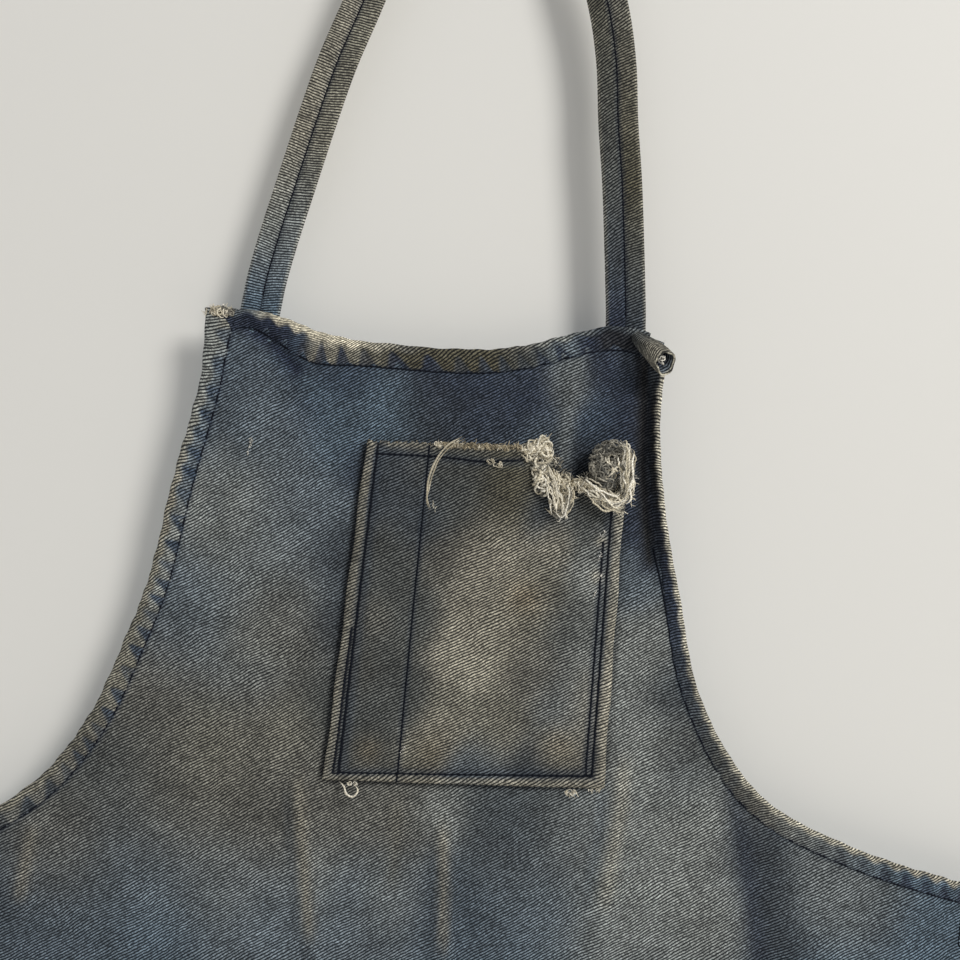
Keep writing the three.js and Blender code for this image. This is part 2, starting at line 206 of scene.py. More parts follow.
def top_edge(x):
    """The bib's top sags between its two raised corners."""
    lift_left = 11.5 * bump((x + 96) / 32)
    lift_right = 19.5 * bump((x - 97) / 45)
    return lift_left + lift_right - 11.5


def top_inset(x):
    """How far below the top edge its seam runs: pulled up at the left corner, then sagging."""
    return top_hem_width - 1.5 - 3.6 * bump((x + 98) / 11) + 4.2 * bump((x + 63) / 17)


def row_point(x, y, z):
    """A place in the row frame, from one on the bib."""
    return stack(x + bib_centre, y, z + bib_top)


def inward_of(ahead, side):
    """The direction into the cloth, square to an edge that runs `ahead`."""
    return stack(side * ahead[..., 1], -side * ahead[..., 0])


def inset_point(path, side, distance, inset):
    """A place on an armhole edge, moved into the cloth."""
    return path.at(distance) + inward_of(path.along(distance), side) * np.asarray(inset)[..., None]


def left_inset(distance):
    """The left seam runs further in beside the corner, where the cloth is folded double."""
    return stitch_inset + 4.8 * bump(distance / 18)


def right_inset(distance):
    """The right seam runs close beside the rolled edge, and further in below."""
    return mix(stitch_inset - 2.6, stitch_inset - 0.8, smooth(185, 235, distance))


def seam_line(path, side, start, end):
    distance = np.linspace(start, end, 120) * path.length
    inset = left_inset(distance) if side < 0 else right_inset(distance)
    return inset_point(path, side, distance, inset)


# The right seam's thread is left in three runs: where each starts and ends, as a share of its edge.
RIGHT_RUNS = (("upper", 0.27, 0.57), ("middle", 0.6, 0.66), ("lower", 0.69, 0.98))
RIGHT_GAPS = ((-0.01, 0.25), (0.55, 0.58), (0.64, 0.67))
seam_x = np.linspace(-105, 101, 60)
top_seam = stack(seam_x, top_edge(seam_x) - top_inset(seam_x))
left_seam = seam_line(armhole_left, -1, 0.02, 0.98)
right_seam = seam_line(armhole_right, 1, 0.02, 0.98)
waist_z = waist - bib_top
bottom_z = bottom - bib_top


# ---- Relief: how far the cloth stands forward of its flat layer ----

# The skirt's soft flutes: how high, how far apart, and where they start.
FLUTES = ((8, 213, 0.6), (4, 121, 2.1))


def drape(x, z):
    """The flutes grow from nothing at the waist."""
    fall = np.clip((waist_z - z) / (waist_z - bottom_z), 0, None)
    across = x + bib_centre
    waves = sum(height * np.sin(2 * np.pi * across / apart + phase) for height, apart, phase in FLUTES)
    return fall * waves


def fold(x, z, route, width, height, taper):
    """A rounded ridge, or with a negative height a valley, along a route."""
    route = np.array(route, float)
    far, place = nearest(route, x, z)
    length = travelled(route)[-1]
    ends = smooth(0, taper, place) * smooth(0, taper, length - place)
    inside = (place > 0) & (place < length)
    return height * bump(far / width) * np.where(inside, ends, 0)


# the bib's right side is pulled back into a groove beside its rolled edge
GROOVE = [(108, 10), (110, -12), (111, -36), (112.5, -62), (117, -90), (124, -124)]
# a fold runs down from the left foot of the strap
DIAGONAL = [(-112, -5), (-98, -9), (-85, -16), (-76, -24), (-66, -34)]
# Every fold: its route, width and height, and how long its ends take to fade out.
FOLDS = [
    (GROOVE, 4.6, -4.6, 18),
    ([(78, 4), (74, -24), (71, -56), (69, -84)], 6, 1.8, 18),
    (DIAGONAL, 4.2, -3.0, 8),
    ([(-84, 2), (-66, -12), (-52, -32)], 5, 1.3, 18),
    # soft streaks that hang from the pocket and the armholes
    ([(-50, -228), (-47, -262), (-36, -330), (-34, -420)], 5, 1.5, 18),
    ([(26, -250), (29, -290), (33, -345), (36, -430)], 4.5, 1.3, 18),
    ([(114, -200), (116, -240), (112, -300), (108, -380)], 6, 1.6, 18),
    ([(170, -214), (183, -258), (200, -318), (214, -400), (220, -520)], 12, -4.2, 60),
    ([(-186, -262), (-188, -300), (-196, -380), (-204, -470)], 9, 1.8, 40),
    ([(-30, -420), (-22, -520), (-34, -640)], 16, 2.4, 60),
    ([(120, -440), (134, -560), (128, -700)], 18, -2.6, 70),
]


def body_relief(x, z):
    relief = -drape(x, z)
    # shallow waves all over, which the top seam holds flat
    loose = smooth(4, 34, np.abs(z - top_edge(x)))
    relief += loose * 1.1 * np.sin(x / 31 + 0.7 * np.sin(z / 58)) * np.cos(z / 47 + 0.4)
    relief += loose * 0.5 * np.sin(x / 13 + z / 37)
    for route, width, height, taper in FOLDS:
        relief += fold(x, z, route, width, height, taper)
    return relief


PUCKER_DEPTH = 0.35
PUCKER_REACH = 6             # how far from the seam it fades


def seam_pucker(x, z):
    """Ripples that the stitching pulls into the cloth beside a seam."""
    ripple = np.zeros(np.shape(x))
    for seam, period in ((left_seam, 9.5), (right_seam, 10.0), (top_seam, 12.5)):
        far, place = nearest(seam[::3], x, z)
        ripple += PUCKER_DEPTH * bump(far / PUCKER_REACH) * np.sin(2 * np.pi * place / period)
    return ripple


# ---- Colour of the worn cloth ----
INK = linear(27, 37, 54)
COAL = linear(9, 14, 23)
PITCH = linear(3, 4, 7)
NIGHT = linear(15, 27, 48)
DEEP = linear(46, 53, 60)
INDIGO = linear(44, 57, 72)
DUSK = linear(62, 65, 64)
BLUE = linear(68, 83, 95)
SLATE = linear(82, 91, 98)
GREY = linear(93, 98, 99)
PALE = linear(112, 115, 112)
OLIVE = linear(85, 84, 78)
DRAB = linear(100, 98, 88)
TAN = linear(121, 117, 105)
CREAM = linear(146, 142, 128)
BONE = linear(196, 188, 166)
STEEL = linear(62, 72, 81)
MOSS = linear(62, 59, 46)

# Patches of colour, each x, z, how far it reaches, colour: the cloth's dyes and wear, with painted shade in
# the INK and COAL patches beside the right groove, under the rolled corner and in the torn mouth, in the
# INK and DEEP ones along the pocket's left edge and in the DEEP ones along the valley fold at the right,
# and a painted highlight in the GREY patch on the ridge below the right strap foot.
BODY_DYE_AND_SHADE = [
    (-100, -34, 14, STEEL), (-103, -66, 12, STEEL), (-34, -76, 9, INK), (-60, -36, 18, INDIGO),
    (-25, -50, 15, BLUE), (-40, -28, 10, INDIGO), (14, -32, 20, INK), (4, -50, 14, DEEP),
    (51, -34, 13, INK), (58, -50, 8, STEEL), (86, -46, 13, INDIGO), (71, -25, 9, GREY),
    (87, -16, 9, INK), (82, -62, 10, COAL), (101, -32, 9, INK), (103, -50, 9, INK),
    (-85, -60, 20, SLATE), (-45, -62, 14, BLUE), (113, -90, 10, INK), (-97, -105, 22, PALE),
    (-65, -100, 22, SLATE), (-41, -120, 11, DEEP), (-41, -160, 11, DEEP), (-78, -126, 20, GREY),
    (-72, -150, 12, OLIVE), (114, -125, 10, SLATE), (-120, -160, 22, SLATE), (-85, -165, 26, GREY),
    (-60, -172, 16, OLIVE), (-78, -172, 14, DRAB), (-43, -200, 12, DUSK), (120, -160, 16, PALE),
    (138, -180, 12, DEEP), (-130, -205, 26, OLIVE), (-78, -186, 12, GREY), (-76, -202, 12, OLIVE),
    (-95, -228, 20, DRAB), (-60, -214, 15, DRAB), (122, -205, 20, PALE), (150, -204, 12, DUSK),
    (148, -222, 12, GREY), (-150, -245, 22, DUSK), (-115, -262, 24, OLIVE), (-78, -255, 24, OLIVE),
    (-40, -250, 20, OLIVE), (0, -252, 18, OLIVE), (60, -262, 22, DUSK), (60, -262, 16, STEEL),
    (22, -252, 12, PALE), (100, -258, 20, GREY), (124, -262, 24, PALE), (158, -250, 20, PALE),
    (184, -256, 13, DEEP), (202, -276, 12, DEEP), (222, -268, 14, GREY), (242, -282, 22, GREY),
    (282, -296, 22, BLUE), (-170, -285, 24, OLIVE), (-130, -300, 26, SLATE), (-85, -300, 20, GREY),
    (-41, -292, 15, PALE), (0, -296, 16, GREY), (-24, -300, 12, SLATE), (-50, -305, 12, SLATE),
    (40, -305, 22, STEEL), (80, -300, 22, SLATE), (120, -310, 22, PALE), (160, -305, 22, PALE),
    (202, -305, 14, DEEP), (240, -330, 26, BLUE), (-170, -330, 30, STEEL), (-120, -340, 26, BLUE),
    (-70, -335, 24, SLATE), (-20, -340, 26, SLATE), (60, -350, 34, BLUE), (130, -370, 40, SLATE),
    (-200, -400, 60, STEEL), (-90, -430, 60, SLATE), (30, -440, 60, GREY), (180, -450, 60, BLUE),
    (270, -400, 50, BLUE), (-240, -560, 80, SLATE), (-90, -580, 70, GREY), (60, -600, 70, SLATE),
    (200, -600, 70, GREY), (-160, -720, 80, BLUE), (80, -740, 80, BLUE),
]
# The patch's colours, each x, z, how far it reaches, colour: its dyes and stains, with painted shade in the
# DEEP and MOSS patches just under the mouth.
POCKET_DYE_AND_SHADE = [
    (-22, -85, 13, DEEP), (-18, -130, 16, DUSK), (-20, -152, 8, OLIVE), (-18, -182, 15, DUSK),
    (-24, -180, 8, OLIVE), (-20, -215, 13, DUSK), (2, -100, 12, DEEP), (4, -150, 10, DUSK),
    (2, -192, 10, DUSK), (11, -224, 9, DRAB), (18, -88, 14, DUSK), (14, -120, 9, OLIVE),
    (45, -84, 13, MOSS), (64, -92, 10, DEEP), (38, -118, 15, TAN), (40, -155, 18, TAN),
    (32, -168, 12, CREAM), (24, -196, 10, DRAB), (48, -205, 13, DRAB), (60, -135, 13, DRAB),
    (64, -175, 12, OLIVE), (70, -106, 8, TAN), (84, -100, 10, DUSK), (82, -150, 13, DUSK),
    (84, -190, 13, GREY), (95, -120, 12, PALE), (96, -155, 12, PALE), (97, -190, 12, TAN),
    (80, -214, 9, DRAB), (70, -226, 13, DEEP), (22, -207, 9, TAN), (40, -228, 12, SLATE),
    (96, -226, 10, OLIVE),
]


def mixed_patches(x, z, patches, base, base_weight=0.06):
    """The mixture of all the coloured patches that reach a place, over a little of the base dye; some
    patches are painted shade.
    """
    weight = np.full(x.shape, base_weight)
    colour = base * base_weight + np.zeros((*x.shape, 3))
    for px, pz, reach, tone in patches:
        w = bump(np.hypot(x - px, (z - pz) * 0.85) / reach)
        weight += w
        colour += w[..., None] * tone
    return colour / weight[..., None]


# Worn pale lines along folds, and painted shade and highlights along others: route, width, dye, strength,
# taper.
STREAKS = [
    # pale worn creases; the DEEP and SLATE lines just left of three of them are painted shade on the flank
    # turned from the light
    ([(-52, -232), (-48, -262), (-37, -330)], 3.2, TAN, 0.75, 18),
    ([(-57, -240), (-54, -264), (-44, -330)], 3.4, DEEP, 0.45, 18),
    ([(25, -250), (29, -290), (32, -330)], 2.8, TAN, 0.7, 18),
    ([(19, -258), (23, -292), (27, -330)], 3.0, DEEP, 0.4, 18),
    ([(116, -208), (117, -240), (112, -300)], 4.0, CREAM, 0.5, 18),
    ([(107, -222), (107, -250), (103, -300)], 3.4, SLATE, 0.5, 18),
    ([(-186, -272), (-188, -300), (-190, -320)], 3.4, TAN, 0.6, 12),
    ([(0, -238), (2, -265), (2, -300)], 3.4, DRAB, 0.4, 18),
    # painted shade down the valley fold at the right
    ([(170, -216), (183, -258), (200, -330)], 6, INK, 0.62, 18),
    # painted highlight on the ridge below the right strap foot
    ([(77, 4), (73, -20), (71, -53), (69, -78)], 4.5, GREY, 0.8, 18),
    # painted shade deep in the groove beside the rolled edge
    (GROOVE, 8.5, INK, 0.8, 10),
    (GROOVE, 4.8, PITCH, 0.95, 14),
    (DIAGONAL[1:] + [(-50, -48), (-31, -62)], 6.0, BLUE, 0.6, 12),
    # painted shade in the fold from the left strap foot
    (DIAGONAL, 5.4, NIGHT, 0.95, 6),
    # painted shadow: the dark line where the pocket's left, right and bottom edges meet the bib
    ([(-31.6, -62), (-39.2, -240)], 1.5, COAL, 0.9, 4),
    ([(105, -76), (107.9, -232)], 1.5, COAL, 0.5, 4),
    ([(-38, -240.4), (107, -232.4)], 1.5, COAL, 0.6, 4),
    ([(-105, -60), (-105, -85), (-108, -120)], 7, GREY, 0.6, 18),
]


def body_colour(x, z):
    colour = mixed_patches(x, z, BODY_DYE_AND_SHADE, SLATE)
    for route, width, tone, strength, taper in STREAKS:
        amount = fold(x, z, route, width, 1.0, taper) * strength
        colour = mix(colour, tone, np.clip(amount, 0, 1)[..., None])
    return colour


# ---- Mesh building ----

def enclosed_volume(points, faces):
    corners = [[face[0], face[k], face[k + 1]] for face in faces for k in range(1, len(face) - 1)]
    a, b, c = (points[np.array(corners)[:, k]] for k in range(3))
    return np.einsum("ij,ij->i", a, np.cross(b, c)).sum()


# How each value that a mesh stores for its points is kept.
ATTRIBUTES = {
    "weave": ("FLOAT_VECTOR", "vector"),     # where the point lies on the flat cloth or along its yarn
    "tint": ("FLOAT_COLOR", "color"),        # its colour, with painted shade and highlights in places
    "seam": ("FLOAT", "value"),              # how far it is from a stitch line
    "inner": ("FLOAT", "value"),             # 1 on the cloth's wrong side
}
NO_SEAM = 9.0                # far enough from any stitch line


def put(name, data):
    """A new object in the scene."""
    thing = bpy.data.objects.new(name, data)
    bpy.context.scene.collection.objects.link(thing)
    return thing


def make_piece(name, points, faces, material, **attributes):
    """A mesh object with its faces turned out; each attribute is a value per point."""
    if enclosed_volume(points, faces) < 0:
        faces = [face[::-1] for face in faces]
    mesh = bpy.data.meshes.new(name)
    mesh.from_pydata((points * MM).tolist(), [], faces)
    for key, values in attributes.items():
        kind, field = ATTRIBUTES[key]
        if key == "tint":
            values = np.hstack([values, np.ones((len(values), 1))])
        layer = mesh.attributes.new(key, kind, "POINT")
        layer.data.foreach_set(field, values.astype(np.float32).ravel())
    mesh.shade_smooth()
    mesh.materials.append(material)
    return put(name, mesh)


def strip_quads(first, second, closed=False):
    """Quads between two matching rows of point numbers."""
    a, b = np.asarray(first), np.asarray(second)
    if closed:
        a, b = np.append(a, a[0]), np.append(b, b[0])
    return np.stack([a[:-1], a[1:], b[1:], b[:-1]], axis=-1)


def grid_normals(grid):
    down = np.gradient(grid, axis=0)
    across = np.gradient(grid, axis=1)
    return unit(np.cross(down, across))


def shell(grid, front, back):
    """A closed sheet about a grid of points: `front` and `back` are how far its faces stand off."""
    rows, columns, _ = grid.shape
    normal = grid_normals(grid)
    if normal[..., 1].mean() > 0:
        normal = -normal
    points = np.vstack([
        (grid + normal * np.asarray(front)[..., None]).reshape(-1, 3),
        (grid - normal * np.asarray(back)[..., None]).reshape(-1, 3),
    ])
    number = np.arange(rows * columns).reshape(rows, columns)
    quads = np.stack([
        number[:-1, :-1], number[1:, :-1], number[1:, 1:], number[:-1, 1:],
    ], axis=-1).reshape(-1, 4)
    back_quads = quads[:, ::-1] + rows * columns
    rim = np.concatenate([
        number[0, :], number[1:, -1], number[-1, -2::-1], number[-2:0:-1, 0],
    ])
    edge = strip_quads(rim, rim + rows * columns, closed=True)
    return points, np.vstack([quads, back_quads, edge]).tolist()


def tube(rings, first=0):
    """A closed tube through rings of points, its ends closed by fans."""
    count, around, _ = rings.shape
    number = np.arange(count * around).reshape(count, around) + first
    quads = [strip_quads(number[k], number[k + 1], closed=True) for k in range(count - 1)]
    centres = np.stack([rings[0].mean(0), rings[-1].mean(0)])
    points = np.vstack([rings.reshape(-1, 3), centres])
    faces = np.vstack(quads).tolist()
    start, end = first + count * around, first + count * around + 1
    for j in range(around):
        after = (j + 1) % around
        faces.append([start, int(number[0, after]), int(number[0, j])])
        faces.append([end, int(number[-1, j]), int(number[-1, after])])
    return points, faces


def join(parts):
    """Joins (points, faces) pairs into one, with the faces renumbered."""
    points, faces, start = [], [], 0
    for some_points, some_faces in parts:
        points.append(some_points)
        faces.extend([[index + start for index in face] for face in some_faces])
        start += len(some_points)
    return np.vstack(points), faces


def make_cloth(name, material, grid, front, back, weave, colour, seam, back_seam):
    """One sheet of cloth: its right side in front, and its wrong side behind."""
    points, faces = shell(grid, front, back)
    weave = stack(*weave, 0.0).reshape(-1, 3)
    colour = colour.reshape(-1, 3)
    seams = np.stack([seam, np.broadcast_to(back_seam, seam.shape)])
    return make_piece(
        name, points, faces, material, weave=np.vstack([weave, weave]), tint=np.vstack([colour, colour]),
        seam=seams.ravel(), inner=np.repeat([0.0, 1.0], seam.size),
    )


# ---- Materials ----

class Nodes:
    """Builds a node tree from short calls."""

    def __init__(self, name):
        self.material = bpy.data.materials.new(name)
        self.material.use_nodes = True
        self.tree = self.material.node_tree
        self.shader = self.tree.nodes["Principled BSDF"]

    def add(self, kind, **settings):
        node = self.tree.nodes.new(kind)
        for key, value in settings.items():
            setattr(node, key, value)
        return node

    def feed(self, socket, value):
        if isinstance(value, bpy.types.NodeSocket):
            self.tree.links.new(value, socket)
        elif isinstance(value, (tuple, list, np.ndarray)):
            value = tuple(float(v) for v in value)
            socket.default_value = (*value, 1.0) if socket.type == "RGBA" and len(value) == 3 else value
        else:
            socket.default_value = value

    def math(self, operation, *values):
        node = self.add("ShaderNodeMath", operation=operation)
        for socket, value in zip(node.inputs, values):
            self.feed(socket, value)
        return node.outputs[0]

    def times(self, first, *others):
        for value in others:
            first = self.math("MULTIPLY", first, value)
        return first

    def plus(self, a, b):
        return self.math("ADD", a, b)

    def ramp(self, value, low, high, out_low=0.0, out_high=1.0):
        node = self.add("ShaderNodeMapRange", interpolation_type="SMOOTHSTEP")
        for socket, v in zip(node.inputs, (value, low, high, out_low, out_high)):
            self.feed(socket, v)
        return node.outputs[0]

    def blend(self, factor, a, b, kind="MIX"):
        node = self.add("ShaderNodeMix", data_type="RGBA", blend_type=kind)
        self.feed(node.inputs["Factor"], factor)
        self.feed(node.inputs[6], a)
        self.feed(node.inputs[7], b)
        return node.outputs[2]

    def shaded(self, colour, shade):
        """A colour made lighter or darker."""
        return self.blend(1.0, colour, self.vector(shade, shade, shade), "MULTIPLY")

    def attribute(self, name, output):
        return self.add("ShaderNodeAttribute", attribute_name=name).outputs[output]

    def weave(self):
        """The point's place on the cloth, and how far it is across and along."""
        place = self.attribute("weave", "Vector")
        apart = self.add("ShaderNodeSeparateXYZ")
        self.feed(apart.inputs[0], place)
        return place, apart.outputs[0], apart.outputs[1]

    def surface(self, inputs):
        for name, value in inputs.items():
            self.feed(self.shader.inputs[name], value)

    def relief(self, height, strength, distance):
        bump_node = self.add("ShaderNodeBump")
        for name, value in (("Strength", strength), ("Distance", distance), ("Height", height)):
            self.feed(bump_node.inputs[name], value)
        return bump_node.outputs[0]

    def noise(self, vector, scale, detail=2.0, roughness=0.5):
        node = self.add("ShaderNodeTexNoise", noise_dimensions="3D")
        self.feed(node.inputs["Vector"], vector)
        self.feed(node.inputs["Scale"], scale)
        self.feed(node.inputs["Detail"], detail)
        self.feed(node.inputs["Roughness"], roughness)
        return node.outputs["Fac"]

    def vector(self, x, y, z=0.0):
        node = self.add("ShaderNodeCombineXYZ")
        for socket, value in zip(node.inputs, (x, y, z)):
            self.feed(socket, value)
        return node.outputs[0]


TURN = 2 * math.pi
RIB_PITCH = 1.38             # from one diagonal rib of the twill to the next
RIB_RISE = math.radians(33)
TWIST_PITCH = 1.1            # between the beads that the yarn's twist makes on a rib
NEW_DENIM = (0.0045, 0.006, 0.011)
WEFT = (0.42, 0.4, 0.35)


def denim(name, contrast=1.0, speckle=1.0):
    """Twill: pale ribs over dark valleys, coloured by the tint stored on the cloth, painted shade included,
    and darker in its seams.
    """
    n = Nodes(name)
    place, x, z = n.weave()
    sway = n.times(n.math("SUBTRACT", n.noise(place, 0.035), 0.5), 4.0)
    slub = n.times(n.math("SUBTRACT", n.noise(place, 0.55), 0.5), 0.75)
    rise = n.math("SUBTRACT", n.times(z, math.cos(RIB_RISE)), n.times(x, math.sin(RIB_RISE)))
    rise = n.plus(rise, n.plus(sway, slub))
    along = n.plus(n.times(x, math.cos(RIB_RISE)), n.times(z, math.sin(RIB_RISE)))
    turn = n.times(rise, 1 / RIB_PITCH)
    rib = n.ramp(n.math("COSINE", n.times(turn, TURN)), -0.75, 0.85)
    # each float of warp yarn has its own shade
    yarn = n.vector(n.times(along, 0.62), n.times(n.math("ROUND", turn), 3.7))
    yarn = n.noise(yarn, 1.0, 2.0, 0.7)
    grain = n.ramp(n.noise(place, 1.3, 2.0, 0.7), 0.3, 0.7, 0.72, 1.3)
    fleck = n.times(n.ramp(yarn, 0.3, 0.72, 1 - 0.5 * speckle, 1 + 0.6 * speckle), grain)
    # the yarn's twist across each rib
    bead = n.math("SINE", n.times(n.plus(along, n.times(rise, 0.9)), TURN / TWIST_PITCH))
    bead = n.math("MULTIPLY_ADD", bead, 0.1, 1.0)
    # broad clouds of wear, and small ones
    cloud = n.times(n.ramp(n.noise(place, 0.045, 4.0, 0.6), 0.3, 0.7, 0.8, 1.2),
                    n.ramp(n.noise(place, 0.19, 3.0, 0.6), 0.3, 0.7, 0.87, 1.13))
    tint = n.shaded(n.attribute("tint", "Color"), cloud)
    valley = n.blend(0.86, tint, (0.0045, 0.006, 0.009))
    bright = n.times(fleck, bead, 1.0 + 1.1 * contrast)
    crest = n.blend(0.04, n.shaded(tint, bright), n.shaded(WEFT, bright))
    outside = n.blend(rib, valley, crest)
    # the seam's groove stays as dark as new denim
    seam = n.math("ABSOLUTE", n.attribute("seam", "Fac"))
    halo = n.ramp(seam, 0.5, 2.8, 0.32, 0.0)
    outside = n.blend(halo, outside, n.blend(rib, (0.008, 0.012, 0.022), (0.06, 0.08, 0.11)))
    outside = n.blend(n.ramp(seam, 0.2, 0.75, 1.0, 0.0), outside, NEW_DENIM)
    # the wrong side shows the undyed weft
    wrong_side = n.blend(rib, (0.33, 0.34, 0.33), (0.12, 0.14, 0.165))
    wrong_side = n.blend(0.35, wrong_side, n.blend(1.0, tint, (3.0, 3.0, 3.0), "MULTIPLY"))
    wrong_side = n.shaded(wrong_side, fleck)
    height = n.plus(n.times(rib, 0.16 * contrast), n.times(yarn, 0.12))
    n.surface({
        "Base Color": n.blend(n.attribute("inner", "Fac"), outside, wrong_side),
        "Roughness": n.ramp(rib, 0, 1, 0.96, 0.86),
        "Specular IOR Level": 0.1, "Sheen Weight": 0.03, "Sheen Roughness": 0.6,
        "Normal": n.relief(height, 0.9, MM),
    })
    return n.material


def yarn_material(name, twist_pitch, rough, sheen):
    """Plied yarn: its tint is stored per strand, and its twist runs round it."""
    n = Nodes(name)
    place, along, around = n.weave()
    turn = n.plus(n.times(along, TURN / twist_pitch), n.times(around, TURN))
    ply = n.math("MULTIPLY_ADD", n.math("SINE", turn), 0.5, 0.5)
    fuzz = n.noise(place, 2.3, 3.0, 0.7)
    shade = n.times(n.ramp(ply, 0, 1, 0.78, 1.2), n.ramp(fuzz, 0.25, 0.75, 0.85, 1.25))
    n.surface({
        "Base Color": n.shaded(n.attribute("tint", "Color"), shade),
        "Roughness": rough, "Specular IOR Level": 0.12, "Sheen Weight": sheen,
        "Normal": n.relief(n.plus(ply, fuzz), 0.7, 0.1 * MM),
    })
    return n.material


body_denim = denim("body_denim")
hem_denim = denim("hem_denim", 1.05)
pocket_denim = denim("pocket_denim", 1.05, 0.9)
tape_denim = denim("tape_denim", 1.1)
thread_material = yarn_material("dark_thread", 1.3, 0.75, 0.02)
fray_material = yarn_material("frayed_cotton", 1.6, 0.9, 0.2)


# ---- Body cloth: one fine sheet from the top edge to the bottom edge ----
BODY_COLUMNS = 220
BIB_ROWS, SIDE_ROWS, SKIRT_ROWS = 170, 24, 120


def body_rows():
    """The two ends of each row across the cloth, the bib's along the armholes."""
    t = np.linspace(0, 1, BIB_ROWS)
    left = inset_point(armhole_left, -1, t * armhole_left.length, np.full(BIB_ROWS, tuck))
    right = inset_point(armhole_right, 1, t * armhole_right.length, np.full(BIB_ROWS, tuck))
    # from 0 at the armhole's foot to 1 at the waist, and on to 2 at the bottom
    low = np.concatenate([
        np.linspace(0, 1, SIDE_ROWS + 1)[1:],
        1 + np.linspace(0, 1, SKIRT_ROWS + 1)[1:],
    ])

    def down(x, z):
        return stack(x, np.where(low <= 1, mix(z, waist_z, low), mix(waist_z, bottom_z + tuck, low - 1)))

    return np.vstack([left, down(*left[-1])]), np.vstack([right, down(*right[-1])])


def body_flat():
    """Places all over the cloth, their upper rows curved along the top edge."""
    left, right = body_rows()
    u = np.linspace(0, 1, BODY_COLUMNS + 1)[None, :]
    x = mix(left[:, :1], right[:, :1], u)
    z = mix(left[:, 1:], right[:, 1:], u)
    fade = np.clip(1 + z / 90, 0, 1)
    return x, z + (top_edge(x) - tuck) * fade


def side_of(seam, x, z):
    """Signed distance to a seam: positive on its right, going along it."""
    far, place = nearest(seam, x, z)
    along = travelled(seam)
    here = between(place, along, seam)
    ahead = between(place + 0.5, along, seam) - between(place - 0.5, along, seam)
    right = (x - here[..., 0]) * ahead[..., 1] - (z - here[..., 1]) * ahead[..., 0]
    return far * np.where(right >= 0, 1, -1)


SIDE_SEAM_TOP = -270         # the side seams only count below this
BARE = 2.5                   # how far away a seam seems to be where its thread is lost


def seam_distance(x, z):
    """Signed distance to the nearest stitch line, positive in the middle of the cloth."""
    far = np.minimum(-side_of(left_seam[::2], x, z), side_of(top_seam, x, z))
    right = side_of(right_seam[::2], x, z)
    # where the right seam has lost its thread, its groove has washed out
    place = nearest(right_seam[::2], x, z)[1] / armhole_right.length
    for start, end in RIGHT_GAPS:
        lost = smooth(start - 0.004, start, place) * smooth(end + 0.004, end, place)
        right = mix(right, np.maximum(right, BARE), lost)
    far = np.minimum(far, right)
    skirt = z < SIDE_SEAM_TOP
    for edge, side in ((side_left, -1), (side_right, 1)):
        far = np.where(skirt, np.minimum(far, side * (edge - x) - stitch_inset), far)
    return np.minimum(far, z - bottom_z - bottom_hem_width + 2)


def make_body():
    x, z = body_flat()
    grid = row_point(x, panel_y - body_relief(x, z) - seam_pucker(x, z), z)
    seam = seam_distance(x, z)
    return make_cloth(
        "body_cloth", body_denim, grid, cloth / 2, cloth / 2, (x, z), body_colour(x, z), seam, seam,
    )


# ---- Hems: the edge rolled to the back, roped by its stitching ----

HEM_LIP = 2.4                # how far in the rounded outer edge reaches
HEM_SAMPLES = 15             # across each face of the hem
HEM_SEWN = 0.72              # how far its face stands off the layer where it is sewn down
hem_back_depth = hem_back_y - panel_y


def hem_section(width, puff):
    """Across the hem, from its outer edge in: how far in, and how far its two faces stand off the layer."""
    a = np.linspace(0, 1, HEM_SAMPLES)
    s = width * (1 - np.cos(a * np.pi / 2)) ** 0.85
    rounding = np.sqrt(np.clip(1 - (1 - np.clip(s / HEM_LIP, 0, 1)) ** 2, 0, 1))
    falling = np.clip((s - HEM_LIP) / (width - HEM_LIP), 0, 1) ** 2.2
    front = rounding * (cloth / 2 + puff) * (1 - falling) + HEM_SEWN * falling
    back = -rounding * hem_back_depth
    return s, front, back


def phase_along(distance, period, seed):
    """Puckers that follow each other at uneven steps."""
    r = np.random.default_rng(seed)
    drift = 0
    for _ in range(4):
        drift = drift + r.uniform(0.15, 0.3) * np.sin(distance / r.uniform(11, 60) + r.uniform(0, 6))
    return distance / period + drift


PUCKER_HEIGHT = 0.55         # how far a pucker stands off the hem's face
SCALLOP = 0.2                # how far the outer edge wanders with the puckers
LEAF_START = 0.28            # how far in the point of a dark leaf is, as a share of the hem's width


